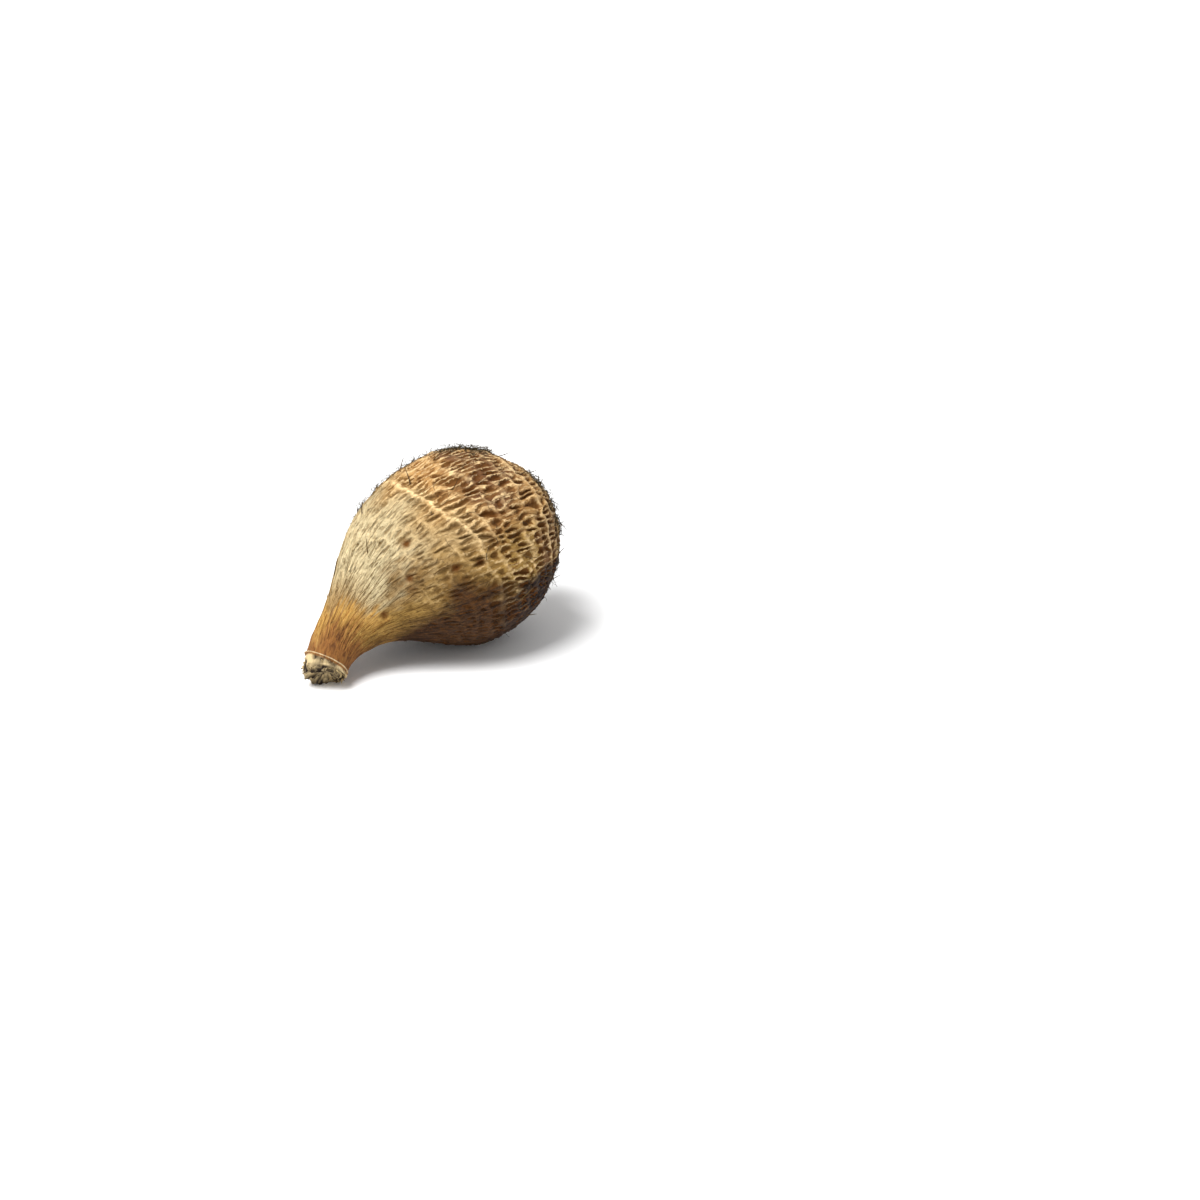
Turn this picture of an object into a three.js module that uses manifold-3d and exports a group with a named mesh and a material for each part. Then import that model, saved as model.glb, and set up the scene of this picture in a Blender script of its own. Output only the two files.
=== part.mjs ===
// Taro root: one whole small corm lying on its side
// Units are millimetres and +Z is up. The broken neck points to -X and touches
// the ground, the blunt growing end looks to +X, and the belly rests at Z = 0.
import * as THREE from 'three';
import { mergeVertices } from 'three/addons/utils/BufferGeometryUtils.js';
import Module from 'manifold-3d';

const wasm = await Module();
wasm.setup();

// Centreline, a cubic curve from the broken neck end to the growing end
const NECK_END = new THREE.Vector3(-54.6, -1.8, 5.5);
const NECK_PULL = new THREE.Vector3(-30.2, 15.7, 29.5);
const TOP_PULL = new THREE.Vector3(10.4, -9.1, 40.8);
const TOP_END = new THREE.Vector3(48.5, 1.7, 40.2);

// Girth, with lengths along the centreline as shares of the whole
const BODY_RADIUS = 37.7;
const NECK_RADIUS = 8.4;
const WIDEST_AT = 0.66;
const FLARE_DELAY = 1.15;
const FLARE_POWER = 2.05;
const DOME_POWER = 2.35;

// Leaf-scar rings, numbered from the neck; their spacing narrows to the top
const RING_COUNT = 25;
const SPACING_FALL = 0.5;
const PITTED_FROM = 8;
const PITTED_TO = 20;
const LAST_RING = 22;
const VALLEY_PHASE = 0.46;
const RING_SLANT = 8.0;
const RING_SLANT_END = 104.0;
const RING_SLANT_ANGLE = THREE.MathUtils.degToRad(40);
const RING_WOBBLE = 0.45;

// Relief of the skin, measured outwards from the mean surface
const CREST_HEIGHT = 0.95;
const STRONG_RINGS = [10, 15];
const RIB_HEIGHT = 0.45;
const PIT_DEPTH = 1.25;
const PLAIN_VALLEY_DEPTH = 0.3;
const STREAK_HEIGHT = 0.25;
const LUMP_HEIGHT = 1.0;
const LUMP_LENGTH = 49.0;
const LUMP_START = 50.0;
const LUMP_ANGLE = THREE.MathUtils.degToRad(65);

// Grid: the pitted band has two columns for each pit
const PIT_COLUMNS = 120;
const PLAIN_COLUMNS = 60;

// Root scars, each a shallow pit with [way along the skin, angle in degrees]
const ROOT_SCARS = [
  [56.5, 125], [66.6, 158], [49.8, 148], [32.7, 166], [75.2, 161],
  [47.0, 20], [60.0, 330], [41.0, 285], [69.0, 295], [54.0, 62],
];
const SCAR_DEPTH = 1.1;
const SCAR_RADIUS = 2.2;

// Broken neck end: a ragged stub past a thin raised collar, with a hollow scar
const COLLAR_AT = 4.6;
const COLLAR_SLANT = 1.6;
const COLLAR_HEIGHT = 0.9;
const STUB_INSET = 0.6;
const STUB_RAGGED = 1.5;
const STUB_SLANT = 2.0;
const SCAR_HOLLOW = 2.2;

// Socket for the bud at the growing end
const SOCKET_RADIUS = 6.4;
const SOCKET_DEPTH = 1.6;
const BUD_GAP = 0.35;
const BUD_RADIUS = 5.6;
const BUD_HEIGHT = 6.5;

// Wiry rootlets, three-sided and tapering to a point
const ROOTLET_COUNT = 74;
const FIRST_ROOTLET_RING = 4;
const LAST_ROOTLET_RING = 20;
const ROOTLET_CLEARANCE = 13.0;
const ROOTLET_THICK = 0.42;
const ROOTLET_SUNK = 2.2;
const GOLDEN_ANGLE = Math.PI * (3 - Math.sqrt(5));

// Dead fibres round the bud
const FIBRE_COUNT = 44;
const FIBRE_THICK = 0.42;

const SKIN_TAN = 0xb98d55;
const FIBRE_BROWN = 0x3a271a;

// Repeatable scatter between 0 and 1 for a pair of numbers
function scatter(a, b) {
  const wave = Math.sin(a * 12.9898 + b * 78.233) * 43758.5453;
  return wave - Math.floor(wave);
}

function smooth(edgeLow, edgeHigh, value) {
  return THREE.MathUtils.smoothstep(value, edgeLow, edgeHigh);
}

// Radius of the mean surface at a share of the centreline's length
function girth(share) {
  if (share > WIDEST_AT) {
    const reach = (share - WIDEST_AT) / (1 - WIDEST_AT);
    return BODY_RADIUS * Math.sqrt(Math.max(0, 1 - reach ** DOME_POWER));
  }
  const reach = (share / WIDEST_AT) ** FLARE_DELAY;
  return NECK_RADIUS + (BODY_RADIUS - NECK_RADIUS) * Math.sin((Math.PI / 2) * reach) ** FLARE_POWER;
}

// Table of the meridian: one entry for each step from the neck to the top
const centreline = new THREE.CubicBezierCurve3(NECK_END, NECK_PULL, TOP_PULL, TOP_END);
centreline.arcLengthDivisions = 800;
const axisLength = centreline.getLength();
const TABLE_STEPS = 700;
const table = [];
for (let i = 0; i <= TABLE_STEPS; i += 1) {
  const share = 1 - (1 - i / TABLE_STEPS) ** 2;
  const radius = girth(share);
  const last = table[table.length - 1];
  const step = last ? Math.hypot((share - last.share) * axisLength, radius - last.radius) : 0;
  table.push({ share, radius, way: last ? last.way + step : 0 });
}
const MERIDIAN = table[TABLE_STEPS].way;

// Station at a way along the skin: centre, axes of the section and slope
function station(way) {
  const target = THREE.MathUtils.clamp(way, 0, MERIDIAN);
  let low = 0;
  let high = TABLE_STEPS;
  while (high - low > 1) {
    const middle = (low + high) >> 1;
    if (table[middle].way <= target) low = middle;
    else high = middle;
  }
  const from = table[low];
  const to = table[high];
  const mix = (target - from.way) / (to.way - from.way);
  const share = THREE.MathUtils.lerp(from.share, to.share, mix);
  const radius = THREE.MathUtils.lerp(from.radius, to.radius, mix);
  const tangent = centreline.getTangentAt(share);
  const side = new THREE.Vector3(0, 0, 1).cross(tangent).normalize();
  const up = tangent.clone().cross(side);
  const along = (to.share - from.share) * axisLength;
  const outward = to.radius - from.radius;
  const length = Math.hypot(along, outward);
  return {
    centre: centreline.getPointAt(share), tangent, side, up, radius,
    along: along / length, outward: outward / length,
  };
}

// Unit vectors on the skin: straight out, towards the top and round the body
function skinAxes(place, angle) {
  const radial = place.side.clone().multiplyScalar(Math.cos(angle))
    .addScaledVector(place.up, Math.sin(angle));
  const normal = radial.clone().multiplyScalar(place.along)
    .addScaledVector(place.tangent, -place.outward);
  const forward = radial.clone().multiplyScalar(place.outward)
    .addScaledVector(place.tangent, place.along);
  return { radial, normal, forward, round: normal.clone().cross(forward) };
}

function skinPoint(way, angle, height) {
  const place = station(way);
  const axes = skinAxes(place, angle);
  return place.centre.clone()
    .addScaledVector(axes.radial, place.radius)
    .addScaledVector(axes.normal, height);
}

// Way along the skin of a ring phase, and the slant and wobble of the ring
function ringWay(phase) {
  const share = phase / RING_COUNT;
  return MERIDIAN * ((1 + SPACING_FALL) * share - SPACING_FALL * share * share);
}

function ringShift(way, phase, angle) {
  const slant = Math.sin(Math.PI * Math.min(way / RING_SLANT_END, 1));
  const fade = smooth(0, 3, phase) * (1 - smooth(LAST_RING - 3, LAST_RING, phase));
  return -RING_SLANT * slant * Math.cos(angle - RING_SLANT_ANGLE)
    + RING_WOBBLE * fade * Math.sin(5 * angle + 1.3 * Math.round(phase));
}

// Slow swellings of the body, root scars and long streaks
function bodyRelief(way, angle) {
  const facing = Math.max(0, Math.cos(angle - LUMP_ANGLE));
  const swell = Math.cos((2 * Math.PI * (way - LUMP_START)) / LUMP_LENGTH);
  const fade = smooth(4, 22, way) * (1 - smooth(MERIDIAN - 30, MERIDIAN - 8, way));
  let height = LUMP_HEIGHT * swell * facing * facing * fade;
  height += 0.5 * fade * Math.sin(3 * angle + way / 21 + 2.0);
  const radius = station(way).radius;
  for (const [scarWay, scarDegrees] of ROOT_SCARS) {
    const turn = angle - THREE.MathUtils.degToRad(scarDegrees);
    const across = Math.atan2(Math.sin(turn), Math.cos(turn)) * radius;
    const distance = Math.hypot(way - scarWay, across);
    height -= SCAR_DEPTH * Math.exp(-((distance / SCAR_RADIUS) ** 2));
  }
  return height;
}

// Rows of the skin: [phase, kind], crests on the rings and valleys between
const rows = [];
for (let ring = 1; ring <= LAST_RING; ring += 1) {
  rows.push({ phase: ring, crest: true });
  if (ring < LAST_RING) rows.push({ phase: ring + VALLEY_PHASE, crest: false });
}

function columnsAt(phase) {
  return phase >= PITTED_FROM && phase <= PITTED_TO + 0.9 ? PIT_COLUMNS : PLAIN_COLUMNS;
}

// Share of a ring's crest that is left: rings are worn away in stretches
function crestLeft(ring, angle) {
  if (STRONG_RINGS.includes(ring)) return 1;
  const worn = Math.sin(4 * angle + 2.4 * ring) * Math.cos(7 * angle - 1.3 * ring);
  return 0.5 + 0.4 * worn;
}

function rowHeight(row, column, columns, way, angle) {
  const ring = Math.floor(row.phase);
  const chance = scatter(column + 1, ring * 3.7);
  const body = bodyRelief(way, angle);
  const strength = 0.5 + 0.5 * smooth(4, 10, row.phase);
  const streak = STREAK_HEIGHT * (1.4 * scatter(column, 21) + 0.6 * chance - 1.0);
  if (row.crest) return body + CREST_HEIGHT * strength * crestLeft(ring, angle) * (0.7 + 0.6 * chance);
  const isRib = (column + ring) % 2 === 0;
  if (columns === PIT_COLUMNS) {
    const open = smooth(PITTED_FROM - 1.5, PITTED_FROM + 2.5, row.phase);
    if (isRib) return body + RIB_HEIGHT * open * (0.4 + 0.9 * chance);
    return body - PIT_DEPTH * open * (0.4 + 0.8 * chance);
  }
  return body + streak - PLAIN_VALLEY_DEPTH * (0.5 + chance);
}

// Surface builder: vertices in closed rows, stitched row to row
const positions = [];
const triangles = [];

function addRow(columns, place) {
  const first = positions.length / 3;
  for (let column = 0; column < columns; column += 1) {
    const angle = (2 * Math.PI * column) / columns;
    positions.push(...place(column, angle).toArray());
  }
  return { first, columns };
}

function stitch(lower, upper) {
  const coarse = Math.min(lower.columns, upper.columns);
  const lowerStep = lower.columns / coarse;
  const upperStep = upper.columns / coarse;
  for (let column = 0; column < coarse; column += 1) {
    const a = lower.first + column * lowerStep;
    const b = lower.first + ((column + 1) * lowerStep) % lower.columns;
    const c = upper.first + column * upperStep;
    const d = upper.first + ((column + 1) * upperStep) % upper.columns;
    if (upperStep === 2) {
      triangles.push(a, b, c + 1, a, c + 1, c, b, d, c + 1);
    } else if (lowerStep === 2) {
      triangles.push(a, a + 1, c, a + 1, d, c, a + 1, b, d);
    } else if (column % 2 === 0) {
      triangles.push(a, b, d, a, d, c);
    } else {
      triangles.push(a, b, c, b, d, c);
    }
  }
}

function closeRow(row, tip, atTop) {
  const centre = positions.length / 3;
  positions.push(...tip.toArray());
  for (let column = 0; column < row.columns; column += 1) {
    const a = row.first + column;
    const b = row.first + ((column + 1) % row.columns);
    if (atTop) triangles.push(a, b, centre);
    else triangles.push(b, a, centre);
  }
}

// Broken neck end, from the middle of its scar out to the collar. The break is
// oblique, so the stub is longer on one side.
const neckPlace = station(0);
function neckScarPoint(radius, depth, angle) {
  const { radial } = skinAxes(neckPlace, angle);
  const slant = (-STUB_SLANT * Math.cos(angle) * radius) / NECK_RADIUS;
  return neckPlace.centre.clone()
    .addScaledVector(radial, radius)
    .addScaledVector(neckPlace.tangent, depth + slant);
}

function tornRow(radius, depth, rough, lumpColumns, seed) {
  return addRow(PLAIN_COLUMNS, (column, angle) => {
    const lump = scatter(Math.floor(column / lumpColumns), seed) - 0.5;
    return neckScarPoint(radius + 0.4 * rough * lump, depth + rough * lump, angle);
  });
}

function stubRow(way, height, rough, lumpColumns, seed) {
  return addRow(PLAIN_COLUMNS, (column, angle) => {
    const lump = scatter(Math.floor(column / lumpColumns), seed) - 0.4;
    return skinPoint(way + 0.3 * STUB_SLANT * Math.cos(angle), angle, height + rough * lump);
  });
}

function collarRow(before, height) {
  return addRow(PLAIN_COLUMNS, (column, angle) => skinPoint(
    COLLAR_AT + COLLAR_SLANT * Math.cos(angle) - before, angle, height(angle),
  ));
}

const skinRows = [
  tornRow(2.8, SCAR_HOLLOW * 0.8, 1.2, 2, 1),
  tornRow(NECK_RADIUS - 3.0, 0.6, 1.6, 2, 2),
  tornRow(NECK_RADIUS - 1.6, -0.1, 1.8, 3, 3),
  stubRow(1.6, -STUB_INSET, STUB_RAGGED, 3, 4),
  collarRow(0.8, () => -0.2),
  collarRow(0, (angle) => COLLAR_HEIGHT * (0.7 + 0.3 * Math.sin(3 * angle))),
];

// The ringed skin
for (const row of rows) {
  const columns = columnsAt(row.phase);
  const level = ringWay(row.phase);
  skinRows.push(addRow(columns, (column, angle) => {
    const way = level + ringShift(level, row.phase, angle);
    return skinPoint(way, angle, rowHeight(row, column, columns, way, angle));
  }));
}

// Socket at the growing end: rim, wall and floor
const topPlace = station(MERIDIAN);
function topPoint(radius, reach, angle) {
  const radial = topPlace.side.clone().multiplyScalar(Math.cos(angle))
    .addScaledVector(topPlace.up, Math.sin(angle));
  return topPlace.centre.clone()
    .addScaledVector(radial, radius)
    .addScaledVector(topPlace.tangent, reach);
}
skinRows.push(addRow(PLAIN_COLUMNS, (column, angle) => skinPoint(MERIDIAN - SOCKET_RADIUS - 1.6, angle, -0.1)));
skinRows.push(addRow(PLAIN_COLUMNS, (column, angle) => topPoint(SOCKET_RADIUS, 0.2, angle)));
skinRows.push(addRow(PLAIN_COLUMNS, (column, angle) => topPoint(SOCKET_RADIUS - 0.4, -SOCKET_DEPTH, angle)));
for (let i = 1; i < skinRows.length; i += 1) stitch(skinRows[i - 1], skinRows[i]);
closeRow(skinRows[0], neckScarPoint(0, SCAR_HOLLOW * 0.5, 0), false);
closeRow(skinRows[skinRows.length - 1], topPoint(0, -SOCKET_DEPTH, 0), true);

const skinGeometry = new THREE.BufferGeometry();
skinGeometry.setAttribute('position', new THREE.Float32BufferAttribute(positions, 3));
skinGeometry.setIndex(triangles);

// Joining and cutting of closed bodies
function toSolid(geometry) {
  const bare = geometry.clone();
  bare.deleteAttribute('normal');
  bare.deleteAttribute('uv');
  const merged = mergeVertices(bare, 1e-4);
  return new wasm.Manifold(new wasm.Mesh({
    numProp: 3,
    vertProperties: merged.attributes.position.array,
    triVerts: new Uint32Array(merged.index.array),
  }));
}

function toGeometry(solid) {
  const mesh = solid.getMesh();
  const geometry = new THREE.BufferGeometry();
  geometry.setAttribute('position', new THREE.Float32BufferAttribute(mesh.vertProperties, 3));
  geometry.setIndex(Array.from(mesh.triVerts));
  return geometry;
}

// Tapering three-sided strand through a base, a knee and a pointed tip
function strand(base, knee, tip, thick) {
  const first = knee.clone().sub(base).normalize();
  const second = tip.clone().sub(knee).normalize();
  const points = [];
  for (const [centre, direction, width] of [[base, first, thick], [knee, second, thick * 0.8]]) {
    const across = new THREE.Vector3(0.31, 0.17, 0.93).cross(direction).normalize();
    const over = direction.clone().cross(across);
    for (let corner = 0; corner < 3; corner += 1) {
      const angle = (2 * Math.PI * corner) / 3;
      points.push(...centre.clone()
        .addScaledVector(across, width * Math.cos(angle))
        .addScaledVector(over, width * Math.sin(angle)).toArray());
    }
  }
  points.push(...tip.toArray());
  const faces = [0, 2, 1];
  for (let corner = 0; corner < 3; corner += 1) {
    const next = (corner + 1) % 3;
    faces.push(corner, next, next + 3, corner, next + 3, corner + 3);
    faces.push(corner + 3, next + 3, 6);
  }
  const geometry = new THREE.BufferGeometry();
  geometry.setAttribute('position', new THREE.Float32BufferAttribute(points, 3));
  geometry.setIndex(faces);
  return geometry;
}

// Rootlets stand on rings all round the body, none of them near the ground
function rootlet(index) {
  const share = (index + 0.5) / ROOTLET_COUNT;
  const ring = FIRST_ROOTLET_RING + Math.round((LAST_ROOTLET_RING - FIRST_ROOTLET_RING) * share ** 0.8);
  const angle = index * GOLDEN_ANGLE;
  const level = ringWay(ring);
  const way = level + ringShift(level, ring, angle);
  const place = station(way);
  const axes = skinAxes(place, angle);
  const foot = skinPoint(way, angle, bodyRelief(way, angle));
  const nearTop = smooth(14, LAST_ROOTLET_RING, ring);
  const length = 5.0 + 5.0 * scatter(index, 5);
  const lift = 0.35 + 0.25 * scatter(index, 6) + 0.5 * nearTop;
  const sway = 2.2 * (scatter(index, 7) - 0.5);
  const curl = 1.6 * (scatter(index, 8) - 0.5);
  const heading = axes.forward.clone().multiplyScalar(1 - 0.9 * nearTop)
    .addScaledVector(axes.round, sway)
    .addScaledVector(axes.normal, lift).normalize();
  const turned = heading.clone().addScaledVector(axes.round, curl)
    .addScaledVector(axes.normal, 0.3 * curl - 0.1).normalize();
  const knee = foot.clone().addScaledVector(heading, length * 0.5);
  const tip = knee.clone().addScaledVector(turned, length * 0.5);
  const base = foot.clone().addScaledVector(heading, -0.6).addScaledVector(axes.normal, -ROOTLET_SUNK);
  const lowest = Math.min(base.z, knee.z, tip.z);
  return lowest > ROOTLET_CLEARANCE ? strand(base, knee, tip, ROOTLET_THICK) : null;
}

let corm = toSolid(skinGeometry);
for (let index = 0; index < ROOTLET_COUNT; index += 1) {
  const geometry = rootlet(index);
  if (geometry) corm = corm.add(toSolid(geometry));
}

// The belly and the tip of the neck are flat where they lie on the ground
const ground = new THREE.BoxGeometry(300, 300, 20).translate(0, 0, -10);
corm = corm.subtract(toSolid(ground));

// Bud of dead leaf bases with its brush of fibres, clear of the socket
const budProfile = [];
const BUD_STEPS = 6;
budProfile.push(new THREE.Vector2(0, 0));
budProfile.push(new THREE.Vector2(BUD_RADIUS - 0.5, 0));
for (let i = 0; i < BUD_STEPS; i += 1) {
  const rise = i / BUD_STEPS;
  budProfile.push(new THREE.Vector2(
    BUD_RADIUS * Math.sqrt(1 - rise ** 1.6), 1.0 + (BUD_HEIGHT - 1.0) * rise,
  ));
}
budProfile.push(new THREE.Vector2(0, BUD_HEIGHT));
const budGeometry = new THREE.LatheGeometry(budProfile, 18);
const budTurn = new THREE.Matrix4().makeBasis(
  topPlace.up.clone(), topPlace.tangent.clone(), topPlace.up.clone().cross(topPlace.tangent),
);
budTurn.setPosition(topPoint(0, BUD_GAP - SOCKET_DEPTH, 0));
budGeometry.applyMatrix4(budTurn);

let tuft = toSolid(budGeometry);
for (let index = 0; index < FIBRE_COUNT; index += 1) {
  const angle = index * GOLDEN_ANGLE;
  const share = (index + 0.5) / FIBRE_COUNT;
  const spread = 0.25 + 1.5 * share;
  const length = 6.0 + 5.0 * scatter(index, 9);
  const foot = topPoint(BUD_RADIUS * (0.3 + 0.4 * share), 2.2 - 0.6 * share, angle);
  const radial = topPoint(1, 0, angle + 0.5 * (scatter(index, 10) - 0.5)).sub(topPoint(0, 0, 0));
  const heading = topPlace.tangent.clone().addScaledVector(radial, spread).normalize();
  const turned = heading.clone().addScaledVector(radial, 0.35)
    .addScaledVector(topPlace.up, 0.5 * (scatter(index, 11) - 0.5)).normalize();
  const knee = foot.clone().addScaledVector(heading, length * 0.6);
  const tip = knee.clone().addScaledVector(turned, length * 0.5);
  tuft = tuft.add(toSolid(strand(foot, knee, tip, FIBRE_THICK)));
}

// Named pieces
const group = new THREE.Group();
group.name = 'taro_root';

function addPiece(name, solid, color, roughness) {
  const material = new THREE.MeshStandardMaterial({ color, roughness, metalness: 0 });
  const mesh = new THREE.Mesh(toGeometry(solid), material);
  mesh.name = name;
  group.add(mesh);
}

addPiece('corm', corm, SKIN_TAN, 0.9);
addPiece('apex_tuft', tuft, FIBRE_BROWN, 0.95);

export default group;
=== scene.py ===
# %% [markdown]
# # Taro root
# A taro root is a corm: a short, swollen stem that grows underground. This scene
# dresses the solid model of one small corm with its netted skin, its dry fibres,
# its rootlets and the dark tuft at its growing end. Everything is worked out from
# the same centreline and girth as the solid model, so the pieces need no fitting.

# %% Load the solid model as a fixed frame
import math
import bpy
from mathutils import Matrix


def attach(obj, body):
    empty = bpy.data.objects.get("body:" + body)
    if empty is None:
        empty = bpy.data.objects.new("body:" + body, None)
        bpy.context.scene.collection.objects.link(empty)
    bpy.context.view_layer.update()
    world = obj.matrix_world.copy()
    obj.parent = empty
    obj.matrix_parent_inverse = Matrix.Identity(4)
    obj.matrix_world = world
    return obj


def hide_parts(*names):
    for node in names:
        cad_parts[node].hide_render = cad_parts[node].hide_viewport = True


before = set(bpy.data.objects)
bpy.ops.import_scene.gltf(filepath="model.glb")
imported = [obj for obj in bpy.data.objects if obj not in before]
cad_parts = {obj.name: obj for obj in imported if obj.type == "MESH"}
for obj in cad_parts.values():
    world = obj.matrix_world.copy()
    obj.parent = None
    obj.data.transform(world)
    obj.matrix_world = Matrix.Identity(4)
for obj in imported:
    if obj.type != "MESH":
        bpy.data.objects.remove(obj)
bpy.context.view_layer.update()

from types import SimpleNamespace
import bpy
import numpy as np

# %% [markdown]
# ## The measured shape
# The corm is a curve with a girth: a cubic curve runs from the broken neck to the
# growing end, and a radius is carried along it. It could be sculpted by hand, but a
# formula lets the skin, the fibres and the hairs all ask for the same surface. All
# lengths are in millimetres here and become metres when a mesh is made.

# %% Centreline and girth
NECK_END = np.array([-54.6, -1.8, 5.5])
NECK_PULL = np.array([-30.2, 15.7, 29.5])
TOP_PULL = np.array([10.4, -9.1, 40.8])
TOP_END = np.array([48.5, 1.7, 40.2])
BODY_RADIUS = 37.7
NECK_RADIUS = 8.4
WIDEST_AT = 0.66
FLARE_DELAY = 1.15
FLARE_POWER = 2.05
DOME_POWER = 2.35
MM = 0.001


def unit(vectors):
    """Each vector divided by its own length."""
    return vectors / np.linalg.norm(vectors, axis=-1, keepdims=True)


def centre_curve(t):
    """Cubic curve: four control points weighted by the Bernstein polynomials."""
    t = np.asarray(t)[..., None]
    left = 1 - t
    return (NECK_END * left ** 3 + 3 * NECK_PULL * t * left ** 2
            + 3 * TOP_PULL * t * t * left + TOP_END * t ** 3)


def centre_slope(t):
    """Direction of the cubic curve: its derivative, made a unit vector."""
    t = np.asarray(t)[..., None]
    first, middle, last = NECK_PULL - NECK_END, TOP_PULL - NECK_PULL, TOP_END - TOP_PULL
    return unit(first * (1 - t) ** 2 + 2 * middle * t * (1 - t) + last * t * t)


def girth(share):
    """Radius: a raised sine from the neck to the widest place, then a blunt dome."""
    reach = np.clip(share / WIDEST_AT, 0, 1) ** FLARE_DELAY
    flare = NECK_RADIUS + (BODY_RADIUS - NECK_RADIUS) * np.sin(math.pi / 2 * reach) ** FLARE_POWER
    dome_reach = np.clip((share - WIDEST_AT) / (1 - WIDEST_AT), 0, 1)
    dome = BODY_RADIUS * np.sqrt(1 - dome_reach ** DOME_POWER)
    return np.where(share > WIDEST_AT, dome, flare)


curve_t = np.linspace(0, 1, 1601)
curve_steps = np.linalg.norm(np.diff(centre_curve(curve_t), axis=0), axis=1)
curve_length = curve_steps.sum()
curve_share = np.r_[0, np.cumsum(curve_steps)] / curve_length
print("centreline length in mm", round(float(curve_length), 1))

# %% [markdown]
# ## A map of the skin
# Any place on the skin gets two numbers: the way along the skin from the neck, in
# millimetres, and the angle round the body. A table of the meridian turns the way
# into a place on the centreline, as a surveyor's chain would.

# %% Meridian table and skin points
table_share = 1 - (1 - np.linspace(0, 1, 1401)) ** 2
table_radius = girth(table_share)
table_along = np.diff(table_share) * curve_length
table_out = np.diff(table_radius)
table_step = np.hypot(table_along, table_out)
table_way = np.r_[0, np.cumsum(table_step)]
table_middle = (table_way[1:] + table_way[:-1]) / 2
MERIDIAN = float(table_way[-1])
SKIN_TOP = MERIDIAN - 9


def station(way):
    """Centre, section axes, radius and slope of the body at each way along the skin."""
    way = np.clip(way, 0, MERIDIAN)
    share = np.interp(way, table_way, table_share)
    t = np.interp(share, curve_share, curve_t)
    tangent = centre_slope(t)
    side = unit(np.cross(np.array([0.0, 0.0, 1.0]), tangent))
    return {
        "centre": centre_curve(t), "tangent": tangent, "side": side,
        "up": np.cross(tangent, side), "radius": np.interp(way, table_way, table_radius),
        "along": np.interp(way, table_middle, table_along / table_step),
        "out": np.interp(way, table_middle, table_out / table_step),
    }


def skin_axes(place, angle):
    """Unit vectors on the skin: outwards from the centre, normal, towards the top, and round."""
    cosine, sine = np.cos(angle)[..., None], np.sin(angle)[..., None]
    radial = place["side"] * cosine + place["up"] * sine
    along, out = place["along"][..., None], place["out"][..., None]
    normal = radial * along - place["tangent"] * out
    forward = radial * out + place["tangent"] * along
    return radial, normal, forward, np.cross(normal, forward)


def skin_point(way, angle, height):
    """Centre plus the radius outwards plus the height along the normal."""
    place = station(way)
    radial, normal = skin_axes(place, angle)[:2]
    on_body = place["centre"] + radial * place["radius"][..., None]
    return on_body + normal * np.asarray(height)[..., None]


print("way from neck to growing end in mm", round(MERIDIAN, 1))

# %% [markdown]
# ## Chance that repeats
# A grown thing is never regular, but a script has to give the same root each time.
# A sine with a large factor scatters whole numbers between 0 and 1, and a lattice of
# such values, smoothly joined, gives soft noise that closes round the body.

# %% Repeatable scatter and soft noise
SEED_STEP = 7.7


def scatter(a, b):
    """Fraction left of a large multiple of a sine of both numbers."""
    wave = np.sin(np.asarray(a) * 12.9898 + np.asarray(b) * 78.233) * 43758.5453
    return wave - np.floor(wave)


def ease(low, high, value):
    """Smooth step: 0 up to low, 1 from high, and a cubic between."""
    x = np.clip((value - low) / (high - low), 0, 1)
    return x * x * (3 - 2 * x)


def round_noise(angle, way, cells, reach, seed):
    """Soft noise on the skin: lattice values joined by a cubic, closed after a whole turn."""
    across = np.mod(angle / (2 * math.pi), 1.0) * cells
    along = way / reach + 40
    column, row = np.floor(across), np.floor(along)
    to_right, to_top = ease(0, 1, across - column), ease(0, 1, along - row)
    left_side = np.mod(column, cells) + seed * SEED_STEP
    right_side = np.mod(column + 1, cells) + seed * SEED_STEP
    low = scatter(left_side, row) * (1 - to_right) + scatter(right_side, row) * to_right
    high = scatter(left_side, row + 1) * (1 - to_right) + scatter(right_side, row + 1) * to_right
    return low * (1 - to_top) + high * to_top


# %% [markdown]
# ## Rings, net and scars
# Each leaf leaves a ring-shaped scar where it was joined, and between two rings the
# skin splits into long pits with light ribs between them. The rings are counted from
# the neck, and their number at a place, with its fraction, says where in the band
# between two rings that place is.

# %% Ring numbers
RING_COUNT = 25
SPACING_FALL = 0.5
LAST_RING = 22
RING_SLANT = 8.0
RING_SLANT_END = 104.0
RING_SLANT_ANGLE = math.radians(40)
RING_WOBBLE = 0.45


def ring_way(phase):
    """Way along the skin of a ring number, with spacing that narrows to the top."""
    share = phase / RING_COUNT
    return MERIDIAN * ((1 + SPACING_FALL) * share - SPACING_FALL * share * share)


def ring_shift(level, phase, angle):
    """How far a ring leans towards the neck or the top at this angle."""
    slant = np.sin(math.pi * np.minimum(level / RING_SLANT_END, 1))
    fade = ease(0, 3, phase) * (1 - ease(LAST_RING - 3, LAST_RING, phase))
    wobble = RING_WOBBLE * fade * np.sin(5 * angle + 1.3 * phase)
    return -RING_SLANT * slant * np.cos(angle - RING_SLANT_ANGLE) + wobble


def ring_phase(way, angle):
    """Ring number at a place, by taking the lean off the way four times over."""
    level = np.array(way, dtype=float)
    phase = np.zeros_like(level)
    for _ in range(4):
        inside = np.clip((1 + SPACING_FALL) ** 2 - 4 * SPACING_FALL * level / MERIDIAN, 0, None)
        phase = RING_COUNT * ((1 + SPACING_FALL) - np.sqrt(inside)) / (2 * SPACING_FALL)
        level = np.clip(way - ring_shift(level, phase, angle), 0, MERIDIAN)
    return phase


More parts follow.
